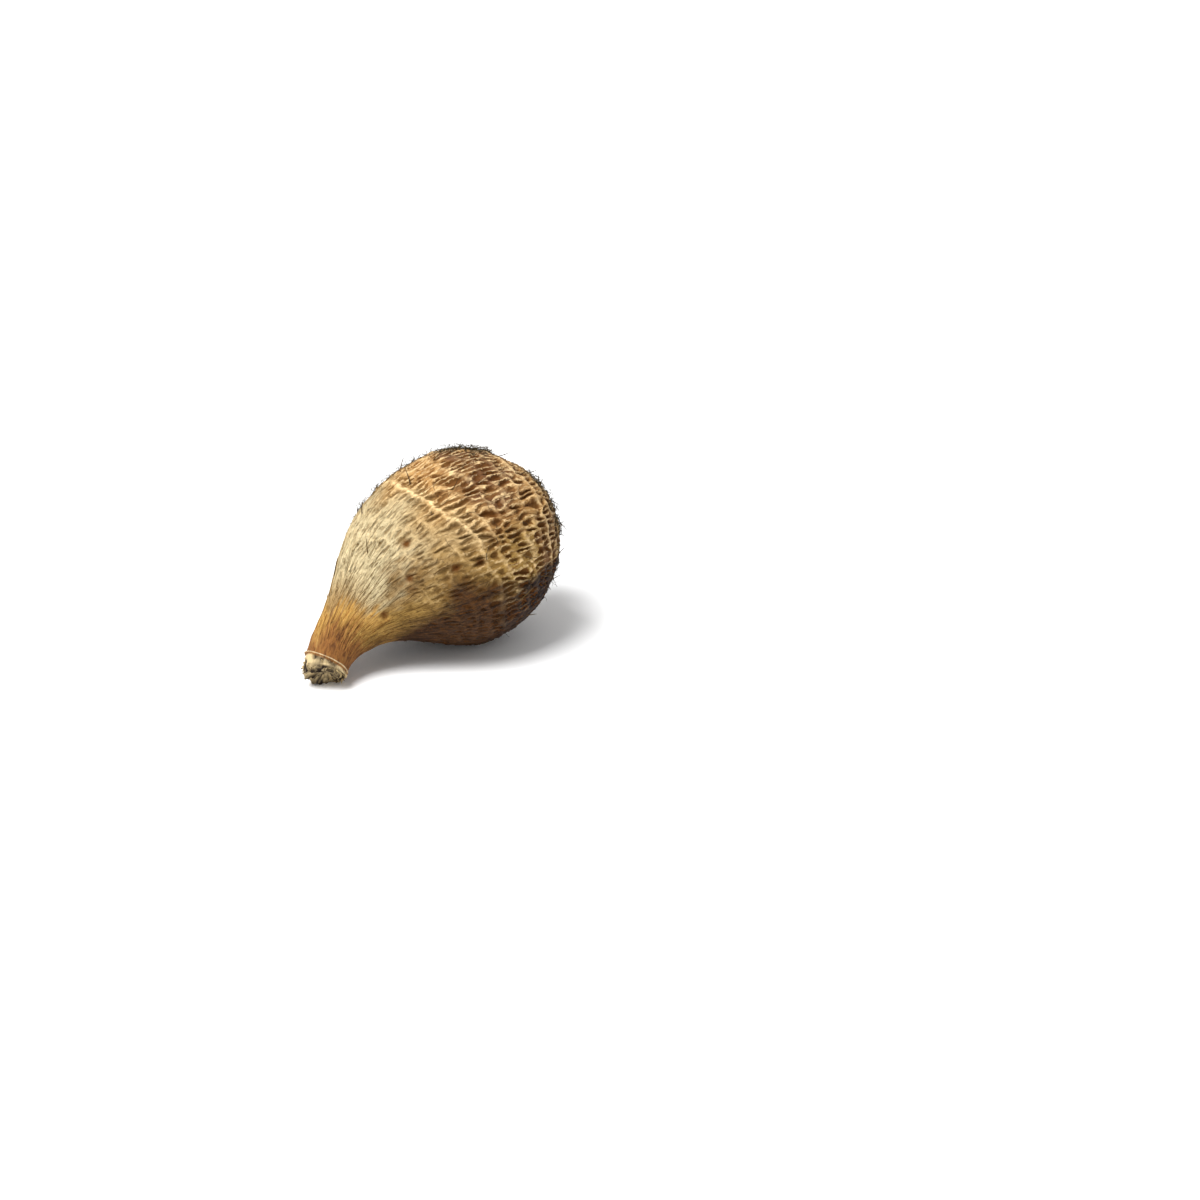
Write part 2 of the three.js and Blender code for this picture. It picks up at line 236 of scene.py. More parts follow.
# %% Body lumps and root scars
LUMP_HEIGHT = 1.0
LUMP_LENGTH = 49.0
LUMP_START = 50.0
LUMP_ANGLE = math.radians(65)
BULGE_HEIGHT = 0.5
BULGES_ROUND = 3
BULGE_TWIST = 21.0
ROOT_SCARS = ((56.5, 125), (66.6, 158), (49.8, 148), (32.7, 166), (75.2, 161),
              (47.0, 20), (60.0, 330), (41.0, 285), (69.0, 295), (54.0, 62))
SCAR_DEPTH = 1.1
SCAR_RADIUS = 2.2
SCAR_RIM = 0.45
SCAR_RIM_AT = 2.4
SCAR_RIM_WIDTH = 0.7


def scar_distance(way, angle):
    """Distance on the skin to the nearest root scar."""
    radius = station(way)["radius"]
    nearest = np.full(np.shape(way), 99.0)
    for scar_way, scar_degrees in ROOT_SCARS:
        turn = angle - math.radians(scar_degrees)
        across = np.arctan2(np.sin(turn), np.cos(turn)) * radius
        nearest = np.minimum(nearest, np.hypot(way - scar_way, across))
    return nearest


def body_relief(way, angle):
    """Slow swellings of the body, less a soft hollow at each root scar."""
    facing = np.maximum(0, np.cos(angle - LUMP_ANGLE))
    swell = np.cos(2 * math.pi * (way - LUMP_START) / LUMP_LENGTH)
    fade = ease(4, 22, way) * (1 - ease(MERIDIAN - 30, MERIDIAN - 8, way))
    height = LUMP_HEIGHT * swell * facing ** 2 * fade
    bulges = np.sin(BULGES_ROUND * angle + way / BULGE_TWIST + 2.0)
    distance = scar_distance(way, angle)
    rim = SCAR_RIM * np.exp(-((distance - SCAR_RIM_AT) / SCAR_RIM_WIDTH) ** 2)
    hollow = SCAR_DEPTH * np.exp(-(distance / SCAR_RADIUS) ** 2)
    return height + BULGE_HEIGHT * fade * bulges + rim - hollow


# %% [markdown]
# ## One net for the mesh and for the colours
# The pits have to be in the same places in the relief and in the colours. A picture
# could hold them, but it would blur close up. Here one formula serves twice: the
# mesh asks it with arrays of numbers, and the material asks it again, for each point
# of the picture, with values that run through Math nodes. The argument named do
# brings the sines and roundings that suit either kind.

# %% Crests and pits, as formulas
PITS_ROUND = 84
STRONG_RINGS = ((10, math.radians(85)), (15, math.radians(155)))
CREST_WIDTH = 0.09
ARRAYS = SimpleNamespace(
    floor=np.floor, sine=np.sin, cosine=np.cos, absolute=np.abs, larger=np.maximum,
    remainder=np.mod, same=np.equal, ease=ease,
    bell=lambda distance: np.exp(-distance ** 2), clip=lambda value: np.clip(value, 0, 1))


def small_scatter(inside, gain, do):
    """Fraction left of a small multiple of a sine, mild enough for a shader to repeat."""
    wave = do.sine(inside) * gain
    return wave - do.floor(wave)


def crest_left(ring, turn, base, gain, do):
    """Share of a crest that is left: worn in stretches, but whole on one side of two strong rings."""
    left = base + gain * do.sine(4 * turn + 2.4 * ring) * do.cosine(7 * turn - 1.3 * ring)
    for strong, facing in STRONG_RINGS:
        whole_here = do.clip(0.3 + 1.5 * do.cosine(turn - facing))
        left = do.larger(left, do.same(ring, strong) * (whole_here + 1) - 1)
    return left


def crest_pattern(phase, turn, base, gain, before_width, do):
    """Ridge on each ring: a bell that drops sharply after it, times the share that is left."""
    ring = do.floor(phase)
    within = phase - ring
    after = do.bell(within / CREST_WIDTH) * crest_left(ring, turn, base, gain, do)
    before = do.bell((1 - within) / before_width) * crest_left(ring + 1, turn, base, gain, do)
    return do.larger(after, before)


def pit_pattern(phase, turn, begins, do):
    """A long ellipse in each cell of a row: one, less powers of the distance across and along."""
    swerve = 0.13 * do.sine(11 * turn + 2.3 * phase) + 0.1 * do.sine(26 * turn - 3.1 * phase)
    row = do.floor(phase + swerve)
    in_row = phase + swerve - row
    wander = 0.3 * do.sine(7 * turn + 2.1 * row) + 0.12 * do.sine(17 * turn + 1.7 * row)
    cell_at = PITS_ROUND * turn / (2 * math.pi) + 0.37 * row + wander
    cell = do.remainder(do.floor(cell_at), PITS_ROUND)
    chance = small_scatter(1.7 * cell + 2.3 * row, 7.13, do)
    other = small_scatter(2.9 * cell + (1.3 * row + 1.0), 9.31, do)
    lean = (other - 0.5) * 1.5 * (in_row - 0.5)
    across = do.absolute(cell_at - do.floor(cell_at) - 0.5 - lean) / (0.24 + 0.16 * chance)
    length = do.absolute(in_row - 0.5 - 0.2 * (chance - 0.5)) / (0.26 + 0.22 * other)
    hollow = 1 - across ** 2.2 - length ** 2.4 - 0.7 * (1 - begins)
    deep = do.ease(0.03, 0.2, chance) * (0.65 + 0.35 * other)
    return hollow, deep, across, in_row


# %% Relief of the skin
CREST_HEIGHT = 0.8
RIB_HEIGHT = 0.35
PIT_DEPTH = 1.25
STREAK_HEIGHT = 0.34


def net_begins(way, phase, angle):
    """How far the pits have opened: none near the neck, all on the body, none at the top."""
    uneven = round_noise(angle, way, 22, 11.0, 3) - 0.5
    small_marks = 0.45 * ease(4.0, 6.5, phase + 2.0 * uneven)
    open_net = 0.55 * ease(9.0, 10.4, phase + 1.6 * uneven)
    return (small_marks + open_net) * (1 - ease(20.6, 21.8, phase))


def net_masks(way, phase, angle):
    """Depth of the pits, height of the crests, and how far the pits have opened."""
    begins = net_begins(way, phase, angle)
    crest = crest_pattern(phase, angle, 0.35, 0.4, 0.15, ARRAYS)
    hollow, deep = pit_pattern(phase, angle, begins, ARRAYS)[:2]
    pit = np.clip(1.5 * hollow, 0, 1) * deep * ease(0.05, 0.3, begins) * (1 - 0.7 * crest)
    uneven = 0.35 + 0.9 * round_noise(angle, way, 46, 7.0, 3)
    return pit, crest * uneven, begins


def net_stray(way, angle):
    """How far the net strays from even rows: in ring numbers, and round the body in radians."""
    rings = 0.5 * (round_noise(angle, way, 26, 8.0, 31) - 0.5)
    rings = rings + 0.4 * (round_noise(angle, way, 70, 3.2, 32) - 0.5)
    turn = 0.06 * (round_noise(angle, way, 34, 6.0, 33) - 0.5)
    return rings, turn + 0.035 * (round_noise(angle, way, 84, 2.8, 34) - 0.5)


def skin_relief(way, phase, angle):
    """Height over the plain body: crests and ribs up, pits down, and long fine streaks."""
    ring_stray, turn_stray = net_stray(way, angle)
    pit, crest, begins = net_masks(way, phase + ring_stray, angle + turn_stray)
    strength = 0.45 + 0.55 * ease(4, 10, phase)
    streak = round_noise(angle, way, 140, 12.0, 1) - 0.5
    streak = streak + 0.8 * (round_noise(angle, way, 84, 21.0, 2) - 0.5)
    end_fade = ease(0.4, 2.0, phase) * (1 - ease(LAST_RING - 1, LAST_RING, phase))
    height = body_relief(way, angle)
    height = height + crest * CREST_HEIGHT * strength + RIB_HEIGHT * begins * (1 - pit)
    height = height - PIT_DEPTH * pit * strength + STREAK_HEIGHT * streak * end_fade
    return height, pit, crest, begins


def skin_height(way, angle):
    """Height of the finished skin at any place."""
    return skin_relief(way, ring_phase(way, angle), angle)[0]


print("ring spacing in mm", np.round(np.diff(ring_way(np.arange(8, 22, 3.0))) / 3, 2))

# %% [markdown]
# ## Making meshes
# Two helpers turn arrays into meshes. One stitches the rows of a closed grid, with a
# single point at each end. The other carries a small three-cornered section along
# many paths at once, which gives fibres and hairs that an exported model keeps,
# where hair curves would be lost.

# %% Mesh helpers
def add_object(name, points, faces, values):
    """Mesh object from points in millimetres, with one float attribute for each named value."""
    mesh = bpy.data.meshes.new(name)
    mesh.from_pydata((points * MM).tolist(), [], faces)
    for key, data in values.items():
        layer = mesh.attributes.new(key, "FLOAT", "POINT")
        layer.data.foreach_set("value", np.ascontiguousarray(data, dtype=np.float32).ravel())
    mesh.polygons.foreach_set("use_smooth", np.ones(len(mesh.polygons), dtype=bool))
    mesh.update()
    piece = bpy.data.objects.new(name, mesh)
    bpy.context.scene.collection.objects.link(piece)
    mesh.calc_loop_triangles()
    print(name, "triangles", len(mesh.loop_triangles))
    return piece


def grid_faces(rows, columns):
    """Squares between closed rows, then a fan to the last but one and the last point."""
    row = np.arange(rows - 1)[:, None] * columns
    column = np.arange(columns)[None, :]
    after = (column + 1) % columns
    squares = np.stack([row + column, row + after, row + columns + after, row + columns + column], -1)
    ring = np.arange(columns)
    ring_next = (ring + 1) % columns
    first, last = rows * columns, rows * columns + 1
    bottom = np.stack([ring_next, ring, np.full(columns, first)], -1)
    top = np.stack([ring + (rows - 1) * columns, ring_next + (rows - 1) * columns,
                    np.full(columns, last)], -1)
    return squares.reshape(-1, 4).tolist() + bottom.tolist() + top.tolist()


OVER_FLOOR = 0.02


def strand_mesh(name, paths, half_width, half_thick, outward, values, keep=slice(None)):
    """A three-cornered section, wide across and thin outwards, carried along every kept path."""
    outward = np.broadcast_to(outward.reshape(len(paths), -1, 3), paths.shape)[keep]
    paths, half_width, half_thick = paths[keep], half_width[keep], half_thick[keep]
    values = {key: value[keep] for key, value in values.items()}
    count, steps = paths.shape[:2]
    tangent = unit(np.gradient(paths, axis=1))
    across = unit(np.cross(outward, tangent))
    over = np.cross(tangent, across)
    turn = 2 * math.pi * np.arange(3) / 3 + math.pi / 2
    sideways = across[:, :, None] * (half_width[..., None] * np.cos(turn))[..., None]
    upwards = over[:, :, None] * (half_thick[..., None] * np.sin(turn))[..., None]
    corner = paths[:, :, None] + sideways + upwards
    corner[..., 2] = np.maximum(corner[..., 2], OVER_FLOOR)
    start = (np.arange(count) * steps * 3)[:, None, None]
    step = (np.arange(steps - 1) * 3)[None, :, None]
    side = np.arange(3)[None, None, :]
    side_next = (side + 1) % 3
    base = start + step
    squares = np.stack([base + side, base + side_next, base + 3 + side_next, base + 3 + side], -1)
    first = start[:, 0, 0]
    last = first + (steps - 1) * 3
    caps = np.concatenate([np.stack([first + 2, first + 1, first], -1),
                           np.stack([last, last + 1, last + 2], -1)])
    along = np.broadcast_to(np.linspace(0, 1, steps)[None, :, None], (count, steps, 3))
    spread = {key: np.broadcast_to(value.reshape(count, -1, 1), (count, steps, 3))
              for key, value in values.items()}
    faces = squares.reshape(-1, 4).tolist() + caps.tolist()
    return add_object(name, corner.reshape(-1, 3), faces, {"along": along, **spread})


# %% [markdown]
# ## The skin
# The skin is one closed grid: rows follow the rings, so that each ridge stays crisp,
# and columns run from the neck to the top. It starts in the torn hollow at the neck,
# turns over the ragged stub and its collar, and ends in the socket of the bud. A
# displacement modifier could raise the net too, but a computed height keeps the
# pits, ribs and colours in step.

# %% Broad colour fields of the skin, with painted shade on the underside
# Each spot: way in mm, angle in degrees, length and width in mm, and strength
BRUISE_SPOTS = ((91, 101, 7, 13, 1.0), (98, 122, 6, 8, 0.6), (103, 90, 7, 10, 0.6),
                (87, 128, 8, 10, 0.8), (96, 250, 9, 12, 0.6), (78, 350, 8, 9, 0.5))
# Turn from straight down of the underside, which the masks below paint darker as shade
SHADED_UNDERSIDE_LEAN = math.radians(12)
NECK_EDGE = 28.5
NECK_EDGE_LEAN = math.radians(40)


def spot(way, angle, way_at, degrees, long, wide):
    """Soft round mask at a place, long along the body and wide round it, in millimetres."""
    turn = angle - math.radians(degrees)
    across = np.arctan2(np.sin(turn), np.cos(turn)) * np.maximum(station(way)["radius"], 6)
    return np.exp(-((way - way_at) / long) ** 2 - (across / wide) ** 2)


def skin_fields(way, angle):
    """Masks from 0 to 1 for the regions of the skin, each with an uneven edge; the olive, brown and deep
    masks paint shade on the lower side.
    """
    mottle = round_noise(angle, way, 18, 13.0, 5) - 0.5
    fine = round_noise(angle, way, 60, 4.0, 6) - 0.5
    fray = round_noise(angle, way, 150, 7.0, 7) - 0.5
    # How far a place lies towards the underside: the lower, the more painted shade from the olive, brown
    # and deep masks, and the less straw and neck colour
    below = -np.sin(angle - SHADED_UNDERSIDE_LEAN) * (1 - 0.85 * ease(108, 132, way))
    below = below + 0.3 * mottle + 0.16 * fine + 0.14 * fray
    near_side = ease(-0.3, 0.7, -np.cos(angle))
    lower = 0.6 * ease(24, 70, way) - 0.6 * ease(66, 98, way)
    # Brown: partly darker skin, partly painted shade over the underside, with two low spots on the near
    # side
    brown_and_shade = ease(-0.2 - lower, 0.45 - lower, below) * (1 - 0.6 * ease(108, 128, way))
    brown_and_shade = np.maximum(brown_and_shade, 0.6 * spot(way, angle, 50, 152, 12, 8) * (0.8 + fine))
    brown_and_shade = np.maximum(brown_and_shade, 0.3 * spot(way, angle, 84, 150, 12, 8))
    # Deep: painted shade, near black, low on the side nearest the camera towards the growing end
    deep = ease(-0.28, 0.0, below) * ease(72, 93, way + 14 * mottle) * (0.4 + 0.6 * near_side)
    net = ease(9.2, 11.6, ring_phase(way, angle) + 1.6 * mottle + 0.8 * fine + 0.8 * fray)
    bruise = sum(amount * spot(way, angle, *place) for *place, amount in BRUISE_SPOTS)
    bruise = 1.5 * bruise * (0.8 + 1.2 * fine + 0.8 * mottle)
    blotch = ease(0.55, 0.8, round_noise(angle, way, 15, 10.0, 22) + 0.5 * fine)
    straw = ease(20, 36, way + 8 * mottle) * (1 - ease(50, 76, way + 14 * mottle))
    neck_lean = np.cos(angle - NECK_EDGE_LEAN)
    edge = NECK_EDGE - 6 * neck_lean + 6 * mottle + 4 * fine + 9 * fray
    neck = (1 - ease(edge - 2.5, edge + 2.5, way)) * (1 - 0.65 * ease(-0.7, 0.1, below))
    return {
        "straw": straw * (1 - ease(-0.95, -0.3, below + 0.5 * fine)),
        "net": net,
        # Olive: the lower half's duller tone, partly painted shade
        "olive_and_shade": ease(-0.9, -0.3, below),
        "brown_and_shade": brown_and_shade,
        "neck": neck * (1 - 0.6 * ease(0.05, 0.4, mottle + 0.8 * fine)),
        "tip": 1 - ease(10.0, 20.0, way + 12 * mottle + 7 * fray + 5 * fine + 4 * neck_lean),
        "top": ease(102, 121, way + 10 * mottle + 7 * fine + 6 * fray),
        "bruise": np.clip(bruise + 0.85 * blotch * ease(78, 90, way), 0, 1),
        "deep": deep * (1 - ease(108, 126, way)),
    }


# %% Rows of the skin grid
COLUMNS = 520
ROWS_PER_RING = 7
FIRST_PHASE = 1.0
COLLAR_AT = 4.6
COLLAR_SLANT = 1.6
STUB_SLANT = 2.0
SOCKET_RADIUS = 6.4
SOCKET_DEPTH = 1.6
turn_angles = np.linspace(0, 2 * math.pi, COLUMNS, endpoint=False)

scar_radii = np.array([1.0, 2.2, 3.4, 4.6, 5.6, 6.3, 6.9, 7.3])
scar_angle, scar_radius = np.meshgrid(turn_angles, scar_radii)
scar_depth = np.interp(scar_radius, [0, 2.8, 5.4, 6.8, 7.4], [1.1, 1.8, 0.6, -0.1, 0.4])
lumps = round_noise(scar_angle, scar_radius, 17, 2.1, 8) - 0.5
shreds_rough = round_noise(scar_angle, scar_radius, 41, 0.9, 18) - 0.5
scar_depth = scar_depth + (3.0 * lumps + 1.4 * shreds_rough) * ease(0.5, 4, scar_radius)
scar_depth = scar_depth - STUB_SLANT * np.cos(scar_angle) * scar_radius / NECK_RADIUS
neck_place = station(np.zeros_like(scar_radius))
neck_radial = skin_axes(neck_place, scar_angle)[0]
scar_points = (neck_place["centre"] + neck_radial * scar_radius[..., None]
               + neck_place["tangent"] * scar_depth[..., None])

stub_share = np.array([0.1, 0.25, 0.4, 0.52, 0.64, 0.74, 0.83, 0.9, 0.95, 1.0, 1.25, 1.5, 1.75])
stub_angle, stub_at = np.meshgrid(turn_angles, stub_share)
collar_way = COLLAR_AT + COLLAR_SLANT * np.cos(stub_angle)
first_level = ring_way(FIRST_PHASE)
first_way = first_level + ring_shift(first_level, FIRST_PHASE, stub_angle)
stub_way = np.where(stub_at < 1, 0.4 + (collar_way - 0.4) * stub_at,
                    collar_way + (first_way - collar_way) * (stub_at - 1))
collar = np.exp(-((stub_way - collar_way) / 0.42) ** 2)
ragged = round_noise(stub_angle, stub_way, 19, 2.0, 9) - 0.45
ragged = ragged + 0.4 * (round_noise(stub_angle, stub_way, 44, 1.0, 19) - 0.5)
on_stub = 1 - ease(-1.6, -0.5, stub_way - collar_way)
collar_worn = 0.5 + 0.8 * round_noise(stub_angle, 0 * stub_way, 24, 7.0, 10)
stub_height = collar * 0.9 * (0.7 + 0.3 * np.sin(3 * stub_angle)) * collar_worn
stub_height = stub_height + on_stub * (2.0 * ragged - 0.5)
stub_points = skin_point(stub_way, stub_angle, stub_height)

phases = np.arange(FIRST_PHASE, LAST_RING + 1e-6, 1 / ROWS_PER_RING)
body_angle, body_phase = np.meshgrid(turn_angles, phases)
body_level = ring_way(body_phase)
body_way = body_level + ring_shift(body_level, body_phase, body_angle)
relief, pit_depth, crest_mask, open_mask = skin_relief(body_way, body_phase, body_angle)
body_points = skin_point(body_way, body_angle, relief)
print("rows", len(scar_radii), len(stub_share), len(phases), "relief in mm", relief.min(), relief.max())
print("share of the skin in pits", round(float((pit_depth > 0.5).mean()), 2))

# %% Socket rows, then the whole skin
rim_ways = np.array([MERIDIAN - 8.9, MERIDIAN - 8.2])
rim_angle, rim_way = np.meshgrid(turn_angles, rim_ways)
rim_points = skin_point(rim_way, rim_angle, np.full(rim_way.shape, -0.1))
socket_radii = np.array([SOCKET_RADIUS + 0.7, SOCKET_RADIUS, SOCKET_RADIUS - 0.3])
socket_reaches = np.array([0.05, 0.2, -SOCKET_DEPTH])
top_place = {key: value[0] for key, value in station(np.array([MERIDIAN])).items()}


def top_point(radius, reach, angle):
    """Point off the growing end: a radius round its axis and a reach along it."""
    radial = (top_place["side"] * np.cos(angle)[..., None]
              + top_place["up"] * np.sin(angle)[..., None])
    return (top_place["centre"] + radial * np.asarray(radius)[..., None]
            + top_place["tangent"] * np.asarray(reach)[..., None])


socket_angle, socket_radius = np.meshgrid(turn_angles, socket_radii)
socket_reach = np.repeat(socket_reaches[:, None], COLUMNS, axis=1)
socket_points = top_point(socket_radius, socket_reach, socket_angle)
grid_points = np.concatenate([scar_points, stub_points, body_points, rim_points, socket_points])
neck_pole = neck_place["centre"][0, 0] + neck_place["tangent"][0, 0] * 1.3
top_pole = top_place["centre"] - top_place["tangent"] * SOCKET_DEPTH
skin_points = np.concatenate([grid_points.reshape(-1, 3), neck_pole[None], top_pole[None]])
skin_points[:, 2] = np.maximum(skin_points[:, 2], 0.0)

part_rows = (len(scar_radii), len(stub_share), len(phases), len(rim_ways) + len(socket_radii))


def all_rows(scar, stub, body, socket):
    """One grid for the whole skin, from a number or a grid for each of its four parts."""
    parts = zip((scar, stub, body, socket), part_rows)
    return np.concatenate([np.broadcast_to(part, (rows, COLUMNS)) for part, rows in parts])


# %% Masks of the skin, kept as attributes of its mesh
all_way = all_rows(0.0, stub_way, body_way, MERIDIAN - 5)
all_angle = np.broadcast_to(turn_angles, all_way.shape)
ring_stray, turn_stray = net_stray(all_way, all_angle)
body_start = len(scar_radii) + len(stub_share)
stray_phase = body_phase + ring_stray[body_start:body_start + len(phases)]
masks = skin_fields(all_way, all_angle)
# On the stub, the crest mask goes past 1, which is how the finish finds the collar
masks["crest"] = all_rows(0.0, 1.6 * collar, crest_mask, 0.0)
masks["begins"] = all_rows(0.0, 0.0, open_mask, 0.0)
masks["phase"] = all_rows(0.5, 0.5, stray_phase, LAST_RING + 0.5)
masks["lumps"] = all_rows(lumps + shreds_rough + 0.5, ragged + 0.5, 0.0, 0.0)
masks["hole"] = np.exp(-(scar_distance(all_way, all_angle) / 1.6) ** 4)
masks["torn"] = all_rows(1.0, 1 - ease(-1.3, -0.4, stub_way - collar_way), 0.0, 0.0)
poles = {key: np.r_[value.ravel(), value[0, 0], value[-1, 0]] for key, value in masks.items()}
skin = add_object("corm_skin", skin_points, grid_faces(len(grid_points), COLUMNS), poles)

wrap = skin.data.attributes.new("wrap", "FLOAT_VECTOR", "POINT")
wrap_radius = station(all_way)["radius"]
wrap_turn = all_angle + turn_stray
wrap_grid = np.stack([wrap_radius * np.cos(wrap_turn), wrap_radius * np.sin(wrap_turn), all_way], -1)
wrap_all = np.concatenate([wrap_grid.reshape(-1, 3), wrap_grid[0, 0][None], wrap_grid[-1, 0][None]])
wrap.data.foreach_set("vector", np.ascontiguousarray(wrap_all, dtype=np.float32).ravel())
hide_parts("corm")
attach(skin, "root")

# %% [markdown]
# ## Loose bark fibres
# The skin of a taro root is the remains of its leaf bases: thin flat fibres that run
# along the body and lift at their ends. Each one is a short path in way and angle
# that follows the height of the skin, so it lies on ribs and bridges pits.

# %% Fibres that lie along the skin
CLEAR_OF_FLOOR = 1.5


def strand_values(way, angle, shade):
    """What a strand's finish needs: its own shade, and the skin's broad masks under it, the underside's
    painted shade among them.
    """
    return {"shade": shade, **skin_fields(way, angle)}


def lying_fibres(name, count, ways, length, width, lift, seed):
    """Paths of steady heading on the skin, lifted by a share that grows to the far end."""
    rng = np.random.default_rng(seed)
    steps = 6
    along = np.linspace(0, 1, steps)[None, :]
    way_start = rng.uniform(ways[0], ways[1], count)[:, None]
    turn = rng.uniform(0, 2 * math.pi, count)[:, None]
    reach = rng.uniform(length[0], length[1], count)[:, None]
    in_net = net_begins(way_start, ring_phase(way_start, turn), turn)
    reach = reach * (1 - 0.55 * in_net)
    heading = rng.normal(0, 0.06, count)[:, None]
    bend = rng.normal(0, 0.10, count)[:, None]
    way = np.minimum(way_start + reach * along, SKIN_TOP)
    radius = station(way)["radius"]
    angle = turn + (heading * along + bend * along ** 2) * reach / radius
    rise = rng.uniform(lift[0], lift[1], count)[:, None]
    loose = np.where(rng.random(count) < 0.05, 3.5, 0.6)[:, None]
    end_rise = rise * (0.3 + loose * along ** 3)
    phase = ring_phase(way, angle)
    height, pit = skin_relief(way, phase, angle)[:2]
    paths = skin_point(way, angle, height + end_rise)
    normal = skin_axes(station(way), angle)[1]
    taper = np.sqrt(np.clip(1.02 - along ** 2, 0.05, 1)) * np.ones((count, 1))
    wide = rng.uniform(width[0], width[1], count)[:, None] * taper
    on_neck = skin_fields(way, angle)["neck"][:, 2]
    keep = rng.random(count) < 1 - 0.6 * in_net[:, 0] - 0.5 * on_neck
    keep = keep & (pit.max(axis=1) < 0.3) & (paths[..., 2].min(axis=1) > CLEAR_OF_FLOOR)
    keep = keep & (scar_distance(way, angle).min(axis=1) > 2.3)
    values = strand_values(way, angle, rng.random(count))
    return strand_mesh(name, paths, wide, wide * 0.35, normal, values, keep)


pale_fibres = lying_fibres("pale_fibres", 2800, (9, 122), (5, 15), (0.08, 0.2), (0.02, 0.12), 11)
brown_fibres = lying_fibres("brown_fibres", 3200, (9, 126), (4, 13), (0.07, 0.2), (0.02, 0.12), 12)

# %% [markdown]
# ## Frayed rings
# At each ring the leaf base tore off and left a fringe. Its fibres start on the
# crest and point towards the growing end, a little off the skin. They are short, so
# four points for each are enough.

# %% Fringe on the rings
def ring_fringe(count, seed):
    """Short paths from ring crests towards the top, rising off the skin as they go."""
    rng = np.random.default_rng(seed)
    steps = 4
    along = np.linspace(0, 1, steps)[None, :]
    ring = rng.integers(4, LAST_RING, count)
    turn = rng.uniform(0, 2 * math.pi, count)
    level = ring_way(ring.astype(float))
    way_start = level + ring_shift(level, ring.astype(float), turn)
    reach = rng.uniform(1.0, 3.2, count)[:, None]
    way = way_start[:, None] + reach * along
    radius = station(way)["radius"]
    sway = rng.normal(0, 0.35, count)[:, None]
    angle = turn[:, None] + sway * reach * along / radius
    rise = rng.uniform(0.05, 0.6, count)[:, None] * along ** 1.4
    paths = skin_point(way, angle, skin_height(way, angle) * (1 - 0.5 * along) + 0.1 + rise)
    normal = skin_axes(station(way), angle)[1]
    wide = rng.uniform(0.05, 0.13, count)[:, None] * (1.0 - 0.75 * along)
    keep = paths[..., 2].min(axis=1) > CLEAR_OF_FLOOR
    values = strand_values(way_start, turn, rng.random(count))
    return strand_mesh("ring_fringe", paths, wide, wide * 0.6, normal, values, keep)


fringe = ring_fringe(1700, 13)

# %% [markdown]
# ## Rootlets and hairs
# Wiry rootlets stand where the solid model has them, now thinner and curved. Finer
# dark hairs stand in clumps along the upper edge and crowd round the growing end.
# Hair curves would be quicker to lay, but an export drops them. So both are meshes
# carried along paths that leave the skin and drift away from it.

# %% Free paths that leave the skin
GOLDEN_ANGLE = math.pi * (3 - math.sqrt(5))
ROOTLETS = 74
ROOTLET_CLEARANCE = 12
ROOTLET_HALF_WIDTH = 0.3


def blend(*terms):
    """Sum of directions, each times its own amount for each strand."""
    return sum(direction * np.asarray(amount)[..., None] for direction, amount in terms)


def free_paths(foot, heading, drift, length, steps, curl=None):
    """Points summed step by step along a heading that turns to a drift and may curl to and fro."""
    along = np.linspace(0, 1, steps)[None, :, None]
    course = heading[:, None] + drift[:, None] * along
    if curl is not None:
        course = course + curl[:, None] * np.sin(7.0 * along)
    direction = unit(course)
    stride = (length / (steps - 1))[:, None, None]
    walked = np.cumsum((direction[:, 1:] + direction[:, :-1]) / 2 * stride, axis=1)
    return foot[:, None] + np.concatenate([np.zeros_like(foot)[:, None], walked], axis=1)


def rootlets():
    """The solid model's rootlets: the same feet, headings and lengths, smoothly bent."""
    steps = 9
    index = np.arange(ROOTLETS)
    share = (index + 0.5) / ROOTLETS
    ring = 4 + np.floor(16 * share ** 0.8 + 0.5)
    angle = index * GOLDEN_ANGLE
    level = ring_way(ring)
    way = level + ring_shift(level, ring, angle)
    near_top = ease(14, 20, ring)
    length = 5.0 + 5.0 * scatter(index, 5)
    lift = 0.35 + 0.25 * scatter(index, 6) + 0.5 * near_top
    sway = 2.2 * (scatter(index, 7) - 0.5)
    curl = 1.6 * (scatter(index, 8) - 0.5)
    normal, forward, around = skin_axes(station(way), angle)[1:]
    heading = unit(blend((forward, 1 - 0.9 * near_top), (around, sway), (normal, lift)))
    drift = 1.6 * blend((around, curl), (normal, 0.3 * curl - 0.1))
    foot = skin_point(way, angle, body_relief(way, angle) - 0.5) - heading * 0.6
    paths = free_paths(foot, heading, drift, length + 1.2, steps)
    keep = paths[..., 2].min(axis=1) > ROOTLET_CLEARANCE
    taper = np.linspace(1, 0, steps)[None, :] ** 0.6 * 0.9 + 0.1
    wide = ROOTLET_HALF_WIDTH * taper * np.ones((ROOTLETS, 1))
    return strand_mesh("rootlets", paths, wide, wide, normal, {"shade": scatter(index, 12)}, keep)


root_strands = rootlets()

# %% Dark hairs
# Each clump: way along the skin in mm, angle in degrees
HAIR_CLUMPS = np.array([
    (97, 78), (95, 73), (92, 68), (84, 61), (76, 55), (68, 49), (60, 44), (103, 84), (108, 74),
    (100, 80), (101, 83), (99, 76), (102, 86), (112, 132), (113, 146), (113, 120), (113, 160),
    (116, 172), (116, 40), (108, 200), (96, 330), (84, 350), (100, 262), (74, 15), (118, 300),
    (88, 20)])


